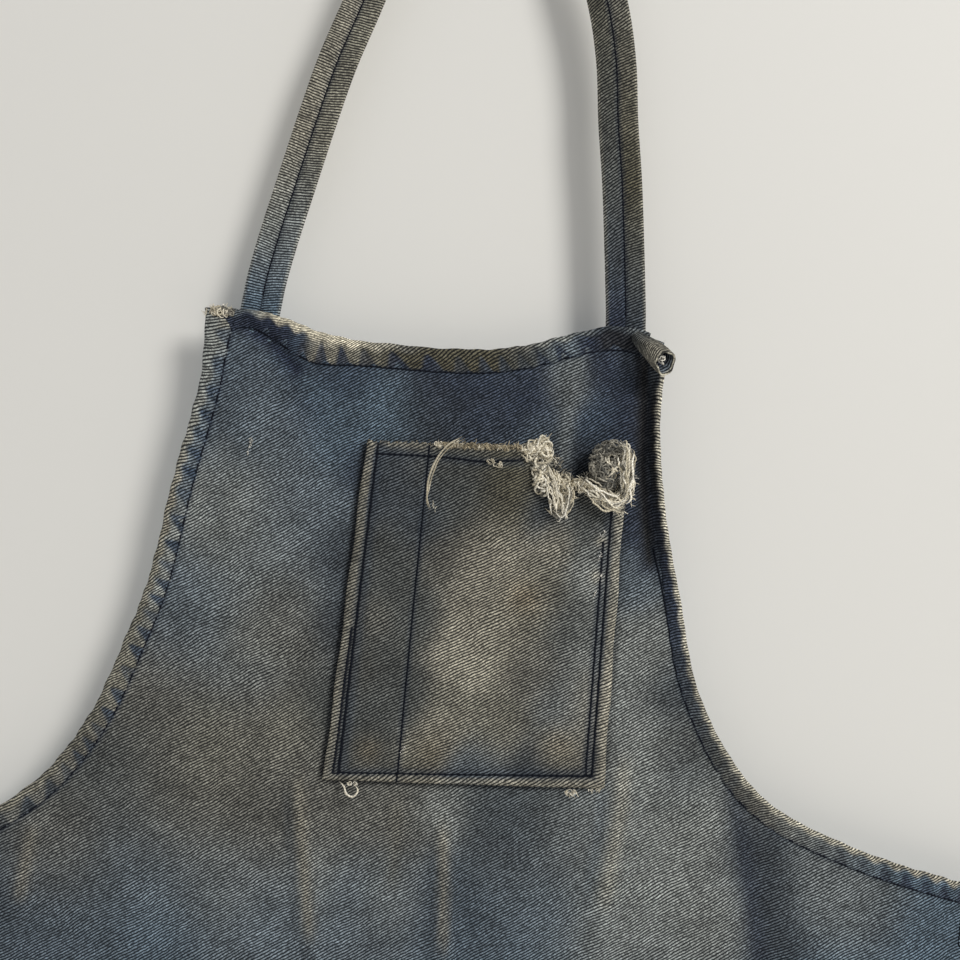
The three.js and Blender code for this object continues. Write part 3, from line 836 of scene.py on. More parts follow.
def make_hem(name, edge, inward, distance, period, seed, look, pucker=None):
    """Sweeps the hem's section along an edge. `look` is its width, puff and colours at each place."""
    pucker = np.ones((len(distance), 1)) if pucker is None else pucker[:, None]
    width, puff, rim_tone, field_tone, leaf_shade, rim_reach, rope = (values[:, None] for values in look)
    s, front, back = hem_section(width, puff)
    q = s / width
    phase = phase_along(distance, period, seed)[:, None]
    slant = phase - 0.35 * q
    wave = np.cos(2 * np.pi * slant) * pucker
    lift = np.sin(np.pi * q) ** 0.8 * np.minimum(puff, 1.3)
    front = np.where(q > 0.96, HEM_SEWN, front + PUCKER_HEIGHT * lift * wave)
    scallop = SCALLOP * pucker * (np.cos(2 * np.pi * phase) + np.sin(2 * np.pi * phase * 0.43 + seed))
    reach = s + scallop * (1 - q) ** 2
    edge, inward = edge[:, None, :], inward[:, None, :]
    flat = edge + inward * reach[..., None]
    level = panel_y - body_relief(flat[..., 0], flat[..., 1])
    front_points = row_point(flat[..., 0], level - front, flat[..., 1])
    back_flat = edge + inward * (reach + 0.8 * q ** 6)[..., None]
    back_points = row_point(back_flat[..., 0], level - back, back_flat[..., 1])
    points, faces = tube(around_hem(front_points, back_points))

    # a worn rim, and painted shade in a dark leaf in the valley of each pucker with its point outward
    valley = 1 - np.abs((slant + 0.5) % 1 - 0.5) * 2
    leaf_width = np.clip((q - LEAF_START) / (1 - LEAF_START), 0, 1) ** 0.7 * 0.7
    leaf = smooth(0.14, -0.14, valley - leaf_width) * smooth(0.22, 0.4, q)
    leaf = leaf * pucker * (0.8 + 0.2 * np.sin(phase * 2.1 + seed))
    colour = mix(field_tone, leaf_shade, leaf[..., None])
    rim = smooth(1.4, -1.4, s - rim_reach - 1.1 * wave)
    colour = mix(colour, rim_tone, rim[..., None])
    behind = np.broadcast_to(mix(field_tone, SLATE, 0.7), colour.shape)
    # roping: the outer edge has crept along, so its ribs lean away from the panel's
    fan = (rope * (1 - q) ** 1.6 + 0.4 * np.sin(2 * np.pi * slant) * (1 - q))[..., None]
    ahead = unit(np.gradient(edge, axis=0))
    weave = np.concatenate([flat + ahead * fan, np.zeros_like(fan)], axis=-1)
    seam = ((width - s) * 1.15 + 0.35)[..., None]
    clear = np.full(seam.shape, NO_SEAM)
    return make_piece(
        name, points, faces, hem_denim,
        weave=with_ends(around_hem(weave, weave)), tint=with_ends(around_hem(colour, behind)),
        seam=with_ends(around_hem(seam, clear)), inner=np.zeros(len(points)),
    )


def around_hem(front, back):
    """Values of the front from the edge in, then of the back from its inner side out."""
    return np.concatenate([front, back[:, :0:-1]], axis=1)


def with_ends(values):
    """A tube's values, ring by ring, with those of the middles of its two ends."""
    ends = np.stack([values[0].mean(0), values[-1].mean(0)])
    return np.vstack([values.reshape(-1, values.shape[-1]), ends])


def along_edge(path, side, start, end, step=0.9):
    distance = np.arange(start, end, step)
    return path.at(distance), inward_of(path.along(distance), side), distance


def tones_along(value, stops):
    """Colours that follow each other along an edge: stops are (place, colour)."""
    return between(value, [place for place, _ in stops], np.array([tone for _, tone in stops]))


def even(distance, value):
    return np.full(len(distance), float(value))


# Each look gives a hem's width, its puff, the colours of its rim, its field and the leaves on it,
# how far the rim reaches in, and how far the outer edge has crept along. The leaves are painted shade in
# the puckers' valleys.

def left_look(distance):
    rim = tones_along(distance, [(0, PALE), (40, PALE), (100, TAN), (150, DRAB), (240, DRAB), (430, TAN)])
    field = tones_along(distance, [
        (0, TAN), (18, PALE), (30, SLATE), (90, SLATE), (115, PALE), (150, PALE), (190, DRAB),
        (240, OLIVE), (430, GREY),
    ])
    leaf = tones_along(distance, [(0, GREY), (25, INDIGO), (180, INDIGO), (260, DEEP), (430, DEEP)])
    rope = np.interp(distance, [0, 60, 150, 430], [5.0, 4.0, -1.5, -2.0])
    reach = np.interp(distance, [0, 30, 70, 430], [8.0, 6.0, 4.0, 3.8])
    puff = np.interp(distance, [60, 150], [0.8, 1.0])
    return left_inset(distance) + 0.5, puff, rim, field, leaf, reach, rope


def right_look(distance):
    """Its upper part has rolled over into a thin tube."""
    rim = tones_along(distance, [
        (0, TAN), (20, CREAM), (150, CREAM), (182, TAN), (215, CREAM), (300, CREAM), (330, TAN),
        (430, CREAM),
    ])
    # painted shade: the PITCH, COAL and INK stretches of the field and the leaves lie in the deep groove
    # beside the roll
    field = tones_along(distance, [
        (0, TAN), (14, DEEP), (28, PITCH), (75, PITCH), (130, INK), (180, DEEP), (215, DUSK), (250, OLIVE),
        (285, GREY), (330, BLUE), (430, INDIGO),
    ])
    leaf = tones_along(distance, [(0, DEEP), (28, COAL), (130, INK), (215, DEEP), (260, DUSK), (330, INK)])
    rolled = smooth(150, 90, distance)
    swelling = bump((distance - 12) / 11)
    width = mix(right_inset(distance) + 0.5, 6.0, rolled) + 2.5 * swelling
    puff = mix(0.9, 2.6, rolled) + 1.6 * swelling
    return width, puff, rim, field, leaf, mix(2.4, 2.6, rolled), mix(-2.5, -3.5, rolled)


def top_look(x):
    # The rim's brightest stretch is worn cloth with a painted highlight where the ridge catches the light;
    # the INK and NIGHT at the left corner and the COAL and DEEP under the rolled right corner are painted
    # shade.
    bright = mix(CREAM, BONE, 0.75)
    rim = tones_along(x, [
        (-110, STEEL), (-96, GREY), (-82, bright), (-42, bright), (-28, CREAM), (-16, OLIVE), (-2, MOSS),
        (30, MOSS), (45, OLIVE), (65, PALE), (75, GREY), (84, DEEP), (96, DEEP), (110, GREY),
    ])
    field = tones_along(x, [
        (-110, INK), (-80, NIGHT), (-68, INDIGO), (-58, TAN), (-40, DRAB), (-15, MOSS), (30, MOSS),
        (48, DUSK), (68, SLATE), (77, INK), (86, COAL), (100, COAL), (110, DEEP),
    ])
    leaf = tones_along(x, [
        (-110, INK), (-85, NIGHT), (-60, INK), (0, INK), (40, DEEP), (70, INK), (90, COAL),
    ])
    puff = 1.0 - 0.55 * bump((x + 88) / 14)
    rope = np.interp(x, [-110, -60, -20, 30, 110], [-9.0, -11.0, 3.0, 5.0, 2.0])
    reach = np.interp(x, [-110, -95, -60, -20, 40, 110], [2.2, 2.6, 4.4, 3.6, 2.6, 2.6])
    return top_inset(x), puff, rim, field, leaf, reach, rope


def side_look(distance):
    rim = tones_along(distance, [(0, TAN), (150, CREAM), (500, TAN)])
    field = tones_along(distance, [(0, SLATE), (200, GREY), (500, SLATE)])
    leaf = tones_along(distance, [(0, INDIGO), (200, DEEP), (500, INK)])
    return (even(distance, stitch_inset + 0.5), even(distance, 0.95), rim, field, leaf,
            even(distance, 3.2), even(distance, -2.5))


def bottom_look(distance):
    return (even(distance, bottom_hem_width - 2), *side_look(distance)[1:])


def make_armhole_hem(name, path, side, seed, look, puckers):
    """`puckers` gives how strong the hem's puckers are: places along the edge, and the strength at each."""
    edge, inward, distance = along_edge(path, side, 1.0, path.length)
    return make_hem(name, edge, inward, distance, 11.0, seed, look(distance), np.interp(distance, *puckers))


def make_top_hem():
    x = np.arange(-112, 112, 0.9)
    edge = stack(x, top_edge(x))
    inward = inward_of(unit(np.gradient(edge, axis=0)), 1)
    return make_hem("top_hem", edge, inward, travelled(edge), 12.5, 3, top_look(x))


def make_side_hem(name, x, side, top):
    z = np.arange(top, bottom_z + 1.0, -1.2)
    inward = np.tile([-side, 0.0], (len(z), 1))
    return make_hem(name, stack(x, z), inward, top - z, 12.0, 11 + side, side_look(top - z))


def make_bottom_hem():
    x = np.arange(side_left + 1, side_right - 1, 1.5)
    inward = np.tile([0.0, 1.0], (len(x), 1))
    distance = x - x[0]
    return make_hem("bottom_hem", stack(x, bottom_z), inward, distance, 15.0, 23, bottom_look(distance))


# ---- Thread: separate stitches, each a small bowed loop ----

TOWARD_FRONT = np.array([0.0, -1.0, 0.0])
NAVY = np.array([0.005, 0.007, 0.013])


def ring_around(ahead, off, sides):
    """Unit circles square to a route: its points' angles, and where they lie about its centre."""
    sideways = unit(np.cross(ahead, off))
    up = np.cross(sideways, ahead)
    angle = np.linspace(0, 2 * np.pi, sides, endpoint=False)
    circle = np.cos(angle)[:, None] * sideways[..., None, :] + np.sin(angle)[:, None] * up[..., None, :]
    return angle, circle


def yarn_weave(along, angle, shift=0.0, number=0.0):
    """Where a tube's points lie on its yarn: along it and round it, with its number."""
    places = stack(np.repeat(along, len(angle)) + shift, np.tile(angle / (2 * np.pi), len(along)), number)
    return np.vstack([places, places[:1], places[-1:]])


def stitch_run(route, normal, pitch=3.2, length=2.9, radius=0.4, sides=6, rings=6):
    """Stitches along a 3-D route; `normal` points off the cloth at each of its points."""
    distance = travelled(route)
    starts = np.arange(0.4, distance[-1] - length, pitch)
    t = np.linspace(0, 1, rings)
    places = starts[:, None] + t[None, :] * length
    off = unit(between(places, distance, normal))
    # each end dives into the cloth
    bow = 0.42 * np.sin(np.pi * t) ** 0.6 - 0.3
    centre = between(places, distance, route) + off * bow[None, :, None]
    angle, circle = ring_around(unit(np.gradient(centre, axis=1)), off, sides)
    girth = radius * (0.45 + 0.55 * np.sin(np.pi * np.clip(t, 0.12, 0.88)) ** 0.5)
    stitches = centre[:, :, None, :] + circle * girth[:, None, None]
    points, faces = join([tube(stitch) for stitch in stitches])
    return points, faces, np.vstack([yarn_weave(place, angle) for place in places])


def make_stitches(name, runs, **sizes):
    runs = [stitch_run(route, normal, **sizes) for route, normal in runs]
    points, faces = join([run[:2] for run in runs])
    weave = np.vstack([run[2] for run in runs])
    tint = np.tile(NAVY, (len(points), 1))
    return make_piece(name, points, faces, thread_material, weave=weave, tint=tint)


def facing_front(route):
    return route, np.tile(TOWARD_FRONT, (len(route), 1))


def on_body(flat):
    """A route on the front of the body cloth."""
    x, z = flat[:, 0], flat[:, 1]
    return facing_front(row_point(x, panel_y - cloth / 2 - 0.1 - body_relief(x, z) - seam_pucker(x, z), z))


def level_run(name, flats, **sizes):
    return make_stitches(name, [on_body(flat) for flat in flats], **sizes)


def straight(x0, z0, x1, z1, step=3.0):
    count = max(int(math.hypot(x1 - x0, z1 - z0) / step), 2)
    return stack(np.linspace(x0, x1, count), np.linspace(z0, z1, count))


# ---- Tape: denim folded lengthwise, its two edges meeting under a line of stitches ----
TAPE_COLUMNS = 13
TAPE_HALF_THICK = 1.25
TAPE_DIP = 0.75              # how far its stitch line is pulled in
CREASE_WEAR = 0.35           # how much paler its two folded edges are


def tape_profile():
    """Across the tape: how far from its middle, and how far its faces stand off it."""
    half = np.concatenate([[0.3], np.linspace(1.1, tape_width / 2, TAPE_COLUMNS - 1)])
    a = np.concatenate([-half[::-1], half])
    rounding = np.clip(1 - np.abs(a / (tape_width / 2)) ** 7, 0, 1) ** 0.5
    return a, rounding * (TAPE_HALF_THICK - TAPE_DIP * bump(a / 1.2))


def ribs_at(a, along, tilt):
    """Weave places that lay the ribs at `tilt` degrees from straight across."""
    turn = RIB_RISE - np.radians(tilt)
    return stack(a * np.cos(turn) - along * np.sin(turn), a * np.sin(turn) + along * np.cos(turn), 0.0)


def make_tape(name, low, high, through, along, tilts, tones, seed):
    """A tape between two edges; `through` points at its back. tilts and tones are for its two halves."""
    a, height = tape_profile()
    u = (a / tape_width + 0.5)[None, :, None]
    flat = low[:, None, :] * (1 - u) + high[:, None, :] * u
    # its face wavers a little, and its very edges don't
    waver = 0.16 * np.sin(along[:, None] / 4.1 + a / 5 + seed) * np.abs(a / 10.5)
    stand = (height + waver * (height > 0.2))[..., None]
    front = flat - through[:, None, :] * stand
    back = flat + through[:, None, :] * height[None, :, None]
    points, faces = tube(np.concatenate([front, back[:, -2:0:-1]], axis=1))
    tilt = np.where(a[None, :] < 0, tilts[0][:, None], tilts[1][:, None])
    weave = ribs_at(a[None, :], along[:, None], tilt)
    colour = np.where((a < 0)[None, :, None], tones[0][:, None, :], tones[1][:, None, :])
    crease = smooth(8.2, 10.3, np.abs(a))[None, :, None]
    colour = mix(colour, CREAM, crease * CREASE_WEAR)
    seam = np.broadcast_to((np.abs(a) * 0.9 + 0.25)[None, :, None], (*weave.shape[:2], 1))

    def ring(values):
        return with_ends(np.concatenate([values, values[:, -2:0:-1]], axis=1))

    return make_piece(
        name, points, faces, tape_denim,
        weave=ring(weave), tint=ring(colour), seam=ring(seam), inner=np.zeros(len(points)),
    )


# ---- Neck strap: one loop, with both ends sewn behind the top hem ----
strap_path = Path([
    (-104.5, -365), (-102.3, -345), (-101, -334), (-97, -313), (-89.7, -281), (-82, -248), (-74, -217),
    (-63.4, -185), (-43.1, -120), (-22.3, -52), (-7.8, -4.6), (-5.8, -1.2), (0, 1.2),
    (5.8, -1.2), (7.8, -4.6), (22.3, -52), (43.1, -120), (63.9, -173), (71.2, -204),
    (75, -235), (79.7, -266), (83.5, -297), (87.6, -334), (88.2, -342), (90, -358),
], even=False)
TWIST_TOP, TWIST_BOTTOM = -15, -170     # between these heights each leg turns a quarter
THREAD_OFF_TAPE = 0.75       # from the middle of a tape to its thread


def strap_frame(distance):
    """The strap's middle, and the directions across and through it: flat below, edge on at the hook."""
    flat = strap_path.at(distance)
    t = strap_path.along(distance)
    along = stack(t[:, 0], 0.0, t[:, 1])
    turn = (smooth(TWIST_BOTTOM, TWIST_TOP, flat[:, 1]) * np.pi / 2)[:, None]
    in_plane = unit(np.cross([0.0, 1.0, 0.0], along))
    across = in_plane * np.cos(turn) + np.array([0.0, 1.0, 0.0]) * np.sin(turn)
    return stack(flat[:, 0], tape_y, flat[:, 1]), across, unit(np.cross(along, across))


def make_neck_strap():
    distance = np.arange(0, strap_path.length, 1.2)
    centre, across, through = strap_frame(distance)
    middle = distance - strap_path.length / 2
    turned = smooth(-60, 60, middle)
    tilts = (mix(-4.0, 21.0, turned), mix(14.0, 33.0, turned))
    # the right leg darkens toward its foot: dye, and painted shade on that shadowed leg
    tones = (
        tones_along(middle, [
            (-360, BLUE), (-345, SLATE), (-322, PALE), (-270, TAN), (150, OLIVE), (290, MOSS), (335, DUSK),
            (360, DEEP),
        ]),
        tones_along(middle, [
            (-360, BLUE), (-345, SLATE), (-322, GREY), (-270, DRAB), (150, MOSS), (290, DUSK), (335, DEEP),
            (360, INK),
        ]),
    )
    half = across * tape_width / 2
    strap = make_tape("neck_strap_tape", centre - half, centre + half, through, middle, tilts, tones, 1)
    # the ends are behind the top hem, where no stitches show
    visible = (distance > 22) & (distance < strap_path.length - 18)
    run = ((centre - through * THREAD_OFF_TAPE)[visible], -through[visible])
    return strap, make_stitches("neck_strap_stitches", [run], pitch=3.6, length=3.0)


# ---- Waist ties: sewn behind the side hem, folded once and hanging down ----
TIE_LENGTH = 640             # that hangs
TIE_SEWN = 32                # behind the side hem
TIE_FOLD_RADIUS = 1.4
TIE_OUT = 1.5                # from the side edge to the tape that hangs


def make_tie(name, edge, side, z_middle):
    """Built outward from the side edge and folded down over a diagonal; `p` is how far out."""
    h = tape_width / 2
    near, far = TIE_OUT, TIE_OUT + 2 * h
    stations = []

    def station(p_low, z_low, p_high, z_high, y, through):
        stations.append(((p_low, y, z_low), (p_high, y, z_high), through))

    # sewn behind the hem, and out to the fold
    for t in np.linspace(0, 1, 12):
        p = mix(-TIE_SEWN, near - 2, t)
        station(p, z_middle - h, p, z_middle + h, tape_y, (0, 1, 0))
    for t in np.linspace(0.1, 1, 12):
        p_low = mix(near - 2, far, t)
        station(p_low, z_middle - h, mix(near - 2, near, t), z_middle + h, tape_y, (0, 1, 0))
    # over the diagonal, to the front
    for turn in np.linspace(0, np.pi, 7)[1:-1]:
        shift = TIE_FOLD_RADIUS * math.sin(turn) / math.sqrt(2)
        y = tape_y - TIE_FOLD_RADIUS * (1 - math.cos(turn))
        lean = -math.sin(turn) / math.sqrt(2)
        station(far + shift, z_middle - h + shift, near + shift, z_middle + h + shift, y,
                (lean, math.cos(turn), lean))
    front = tape_y - 2 * TIE_FOLD_RADIUS
    for t in np.linspace(0, 1, 14):
        z_high = mix(z_middle + h, z_middle - h - 6, t)
        station(far, z_middle - h - 6 * t, near, z_high, front, (0, -1, 0))
    # and down
    low_end = z_middle + h - TIE_LENGTH
    for z in np.arange(z_middle - h - 9, low_end, -3.0):
        sway = 1.4 * math.sin((z_middle - z) / 90)
        station(far, z, near, z, front + sway, (0, -1, 0))

    low, high, through = (np.array(column, float) for column in zip(*stations))
    through = unit(through) * np.array([side, 1, 1])
    for points in (low, high):
        points[:, 0] = edge + bib_centre + side * points[:, 0]
        points[:, 2] += bib_top
    middle = (low + high) / 2
    along = travelled(middle)
    tilts = (even(along, 30), even(along, 12))
    tones = (
        tones_along(along, [(0, SLATE), (120, GREY), (400, SLATE), (700, PALE)]),
        tones_along(along, [(0, BLUE), (200, SLATE), (500, BLUE), (700, GREY)]),
    )
    tape = make_tape(name, low, high, through, along, tilts, tones, 4 + side)
    hanging = middle[:, 2] < bib_top + z_middle - h
    route = middle[hanging] + TOWARD_FRONT * THREAD_OFF_TAPE
    return tape, make_stitches(name + "_stitches", [facing_front(route)], pitch=3.6)


def make_tie_tack(name, edge, side, z_middle):
    """A small sewn box that holds the tie's end, seen on the front of the side hem."""
    outer = edge - side * 15
    inner = edge - side * (TIE_SEWN - 4)
    low, high = z_middle - 7.5, z_middle + 7.5
    runs = [
        straight(outer, low, inner, low), straight(inner, low, inner, high),
        straight(inner, high, outer, high), straight(outer, low, inner, high),
    ]
    return level_run(name, runs, pitch=2.6, length=2.2)


# ---- Pocket: one patch with a pen slot, its mouth torn at the right ----
POCKET_CORNERS = ((-30.5, -62.7), (104, -56.7), (-38, -239), (106.8, -231))   # the top two first
PEN_SLOT = 0.24              # the pen slot takes this share of the patch's width
POCKET_SEAM = 0.95           # where the mouth is sewn down at the right
POCKET_GAPE = 6.5            # how far the mouth stands open
TEAR_DEPTH = 17
TEAR_PLACE = 0.81            # this and the next are shares of the patch's width
TEAR_REACH = 0.085
POCKET_WIDTH = 140
POCKET_HEIGHT = 177
RIDGE_SEAM = 4.3             # from the patch's edge to the stitch line beside its ridge
LEFT_RIDGE = (1.4, 1.65)     # how much wider the ridge is along the left edge: at its top and foot,
LOW_RIDGE = (0.8, 1.45)      # along the bottom edge: at its left and right,
RIGHT_RIDGE = 1.45           # and along the right edge


def pocket_flat(u, v):
    """From shares of the patch's width and height, across and down, to a place on the bib."""
    top_left, top_right, low_left, low_right = (np.array(corner) for corner in POCKET_CORNERS)
    across, down = u[..., None], v[..., None]
    flat = mix(mix(top_left, top_right, across), mix(low_left, low_right, across), down)
    tear = TEAR_DEPTH * bump((u - TEAR_PLACE) / TEAR_REACH) * np.clip(1 - v / 0.5, 0, 1)
    ragged = 0.9 * np.sin(u * 190) * np.sin(u * 77 + 1) * smooth(0.03, 0, v)
    wobble = 0.35 * np.sin(v * 23 + 1) * (smooth(0.05, 0, u) - smooth(0.95, 1, u))
    return flat[..., 0] + wobble, flat[..., 1] - tear + ragged


def pocket_edges(u, v):
    """Distances from the nearest sewn edge, in step with its ridge's width, from the bottom and the top."""
    left = u * POCKET_WIDTH / mix(*LEFT_RIDGE, v)
    right = (1 - u) * POCKET_WIDTH / RIGHT_RIDGE
    low = (1 - v) * POCKET_HEIGHT / mix(*LOW_RIDGE, u)
    return np.minimum(np.minimum(left, right), low), low, v * POCKET_HEIGHT


def whole_mouth(u):
    """1 where the mouth is whole, and 0 where it is torn."""
    return smooth(0.64, 0.6, u)


def pocket_front(u, v):
    """How far the patch's front stands off its middle layer."""
    near, _, top = pocket_edges(u, v)
    whole = whole_mouth(u)
    rib = 0.75 * bump((near - 1.7) / 1.3) + 0.5 * whole * bump((top - 1.6) / 1.4)
    groove = 0.4 * bump((near - RIDGE_SEAM) / 0.9)
    groove = groove + 0.3 * bump((u - PEN_SLOT - 0.02 * v) * POCKET_WIDTH)
    ripple = 0.3 * bump((near - 5) / 5) * np.sin((u + v) * 95)
    ripple += 0.25 * whole * bump((top - 8) / 4) * np.sin(u * 110)
    swell = 0.7 * np.sin(u * 13 + 1) * np.sin(v * 9) * smooth(5, 25, np.minimum(near, top))
    return rib - groove + ripple + swell


def pocket_gape(u, v):
    """How far the pocket and its pen slot stand open, less and less further down."""
    across = np.clip((u - PEN_SLOT) / (POCKET_SEAM - PEN_SLOT), 0, 1)
    slot = np.clip(u / PEN_SLOT, 0, 1)
    return (POCKET_GAPE * np.sin(np.pi * across) + 1.2 * np.sin(np.pi * slot)) * (1 - v * v)


def pocket_grid(u, v):
    x, z = pocket_flat(u, v)
    y = pocket_y - pocket_gape(u, v) - pocket_front(u, v) - body_relief(x, z) * smooth(60, 12, u * 80)
    return row_point(x, y, z)


# Brown stains, and bare nicks where the weft shows: x, z, reach, dye, strength.
POCKET_SPOTS = [
    (57, -136, 9, linear(120, 100, 70), 0.3), (83, -211, 10, linear(126, 114, 92), 0.3),
    (17, -220, 9, linear(96, 86, 66), 0.4), (2.6, -221, 2.6, CREAM, 0.6),
    (-16, -222, 8, linear(108, 96, 72), 0.35), (95, -104, 3, BONE, 0.35), (94, -122, 3.4, BONE, 0.3),
]


def pocket_colour(u, v, x, z):
    colour = mixed_patches(x, z, POCKET_DYE_AND_SHADE, OLIVE)
    near, _, top = pocket_edges(u, v)
    whole = whole_mouth(u)
    # the rim is worn paler in uneven stretches
    rise_and_fall = 0.78 + 0.22 * np.sin(x / 9.5 + z / 11.3) * np.sin(z / 7.3)
    rim = np.clip(smooth(3.5, 2.5, near) * rise_and_fall + smooth(3.2, 1.6, top) * whole * 0.5, 0, 1)
    rim_tone = mix(mix(DRAB, TAN, 0.5), mix(TAN, CREAM, 0.4), u[..., None])
    colour = mix(colour, rim_tone, rim[..., None])
    # painted shade: a dark band just inside the edge ridges, and below the mouth's fold where it is whole
    shade = bump((near - 6.2) / 1.8) * 0.5 + whole * bump((top - 9) / 2.5) * 0.35
    colour = mix(colour, DEEP, np.clip(shade, 0, 1)[..., None])
    for spot_x, spot_z, reach, tone, strength in POCKET_SPOTS:
        spot = bump(np.hypot(x - spot_x, z - spot_z) / reach) * strength
        colour = mix(colour, tone, spot[..., None])
    return colour


def top_seam_depth(u):
    """The mouth's stitch line dips a little below its frayed ridge."""
    return 6.5 + 1.8 * bump((u - 0.45) / 0.12)


PEN_SLOT_FOOT = 0.262        # the slot's seam leans a little to the right
LOWER_RUN = 0.55             # the outer line beside the left edge starts this far down
WORN_TOP = 0.26              # and the lines beside the right edge this far
OUTER_LEFT = 4.4             # the second line on the left is this far in from its edge
INNER_RIGHT = 9.6            # and the one on the right from its own


def pocket_seams(u, v):
    """Distance to the nearest stitch line on the patch."""
    near, low, top = pocket_edges(u, v)
    clear = 20
    sewn = low > RIDGE_SEAM
    lines = [
        np.abs(near - RIDGE_SEAM),
        np.abs(u - mix(PEN_SLOT, PEN_SLOT_FOOT, v)) * POCKET_WIDTH,
        np.where((v > LOWER_RUN) & sewn, np.abs(u * POCKET_WIDTH - OUTER_LEFT), clear),
        np.where((v > WORN_TOP) & sewn, np.abs((1 - u) * POCKET_WIDTH - INNER_RIGHT), clear),
        np.where((u > 0.04) & (u < 0.61), np.abs(top - top_seam_depth(u)), clear),
    ]
    return 0.85 * np.minimum.reduce(lines)


def make_pocket():
    v, u = np.meshgrid(np.linspace(0, 1, 190), np.linspace(0, 1, 150), indexing="ij")
    x, z = pocket_flat(u, v)
    near, _, top = pocket_edges(u, v)
    # the edges are turned in: double cloth along the sides, the bottom and the whole part of the mouth
    turned_in = smooth(9, 6, near)
    mouth_fold = smooth(15, 11, top) * whole_mouth(u)
    back = cloth / 2 + 1.5 * turned_in + 1.2 * mouth_fold * (1 - turned_in)
    weave = (x * 0.99 + 71, z + 0.035 * x + 13)
    back = back + pocket_front(u, v) * turned_in
    return make_cloth(
        "pocket_patch", pocket_denim, pocket_grid(u, v), np.full(u.shape, cloth / 2), back, weave,
        pocket_colour(u, v, x, z), pocket_seams(u, v), NO_SEAM,
    )


def on_pocket(corners):
    """A route on the front of the patch, straight between its corners."""
    corners = np.array(corners, float)
    runs = [np.linspace(a, b, 30, endpoint=False) for a, b in zip(corners[:-1], corners[1:])]
    uv = np.vstack([*runs, corners[-1:]])
    return facing_front(pocket_grid(uv[:, 0], uv[:, 1]) + TOWARD_FRONT * (cloth / 2 + 0.05))


def make_pocket_stitches():
    outer_left = OUTER_LEFT / POCKET_WIDTH
    inner_right = 1 - INNER_RIGHT / POCKET_WIDTH
    left_top, left_foot = (RIDGE_SEAM * wide / POCKET_WIDTH for wide in LEFT_RIDGE)
    low_left, low_right = (1 - RIDGE_SEAM * wide / POCKET_HEIGHT for wide in LOW_RIDGE)
    right = 1 - RIDGE_SEAM * RIGHT_RIDGE / POCKET_WIDTH
    runs = {
        "outer": [(outer_left, LOWER_RUN), (outer_left, low_left), (right, low_right), (right, WORN_TOP)],
        "left": [(left_top, 0.03), (left_foot, 0.955)],
        "right": [(inner_right, WORN_TOP), (inner_right, 0.955)],
        "divider": [(PEN_SLOT, 0.01), (PEN_SLOT_FOOT, 0.965)],
        "top": [(u, top_seam_depth(u) / POCKET_HEIGHT) for u in np.linspace(0.05, 0.6, 12)],
    }
    return {name: make_stitches(f"pocket_{name}_stitches", [on_pocket(uv)]) for name, uv in runs.items()}


# ---- Pulled yarn: strands, curls and whiskers ----
YARN_TINTS = {
    "cream": [linear(232, 225, 205), linear(242, 236, 220), linear(216, 208, 188), linear(196, 187, 164)],
    "tan": [linear(206, 197, 174), linear(222, 213, 192), linear(176, 167, 145), linear(232, 224, 204)],
    "grey": [linear(116, 113, 104), linear(140, 136, 125), linear(84, 83, 78), linear(166, 161, 147)],
    "white": [linear(246, 243, 233), linear(230, 225, 212), linear(250, 247, 239)],
    "navy": [linear(34, 42, 58), linear(48, 54, 66)],
    "brown": [linear(150, 139, 114), linear(130, 120, 99), linear(178, 166, 140)],
}


def at_bib(x, y, z):
    return (x + bib_centre, y, z + bib_top)


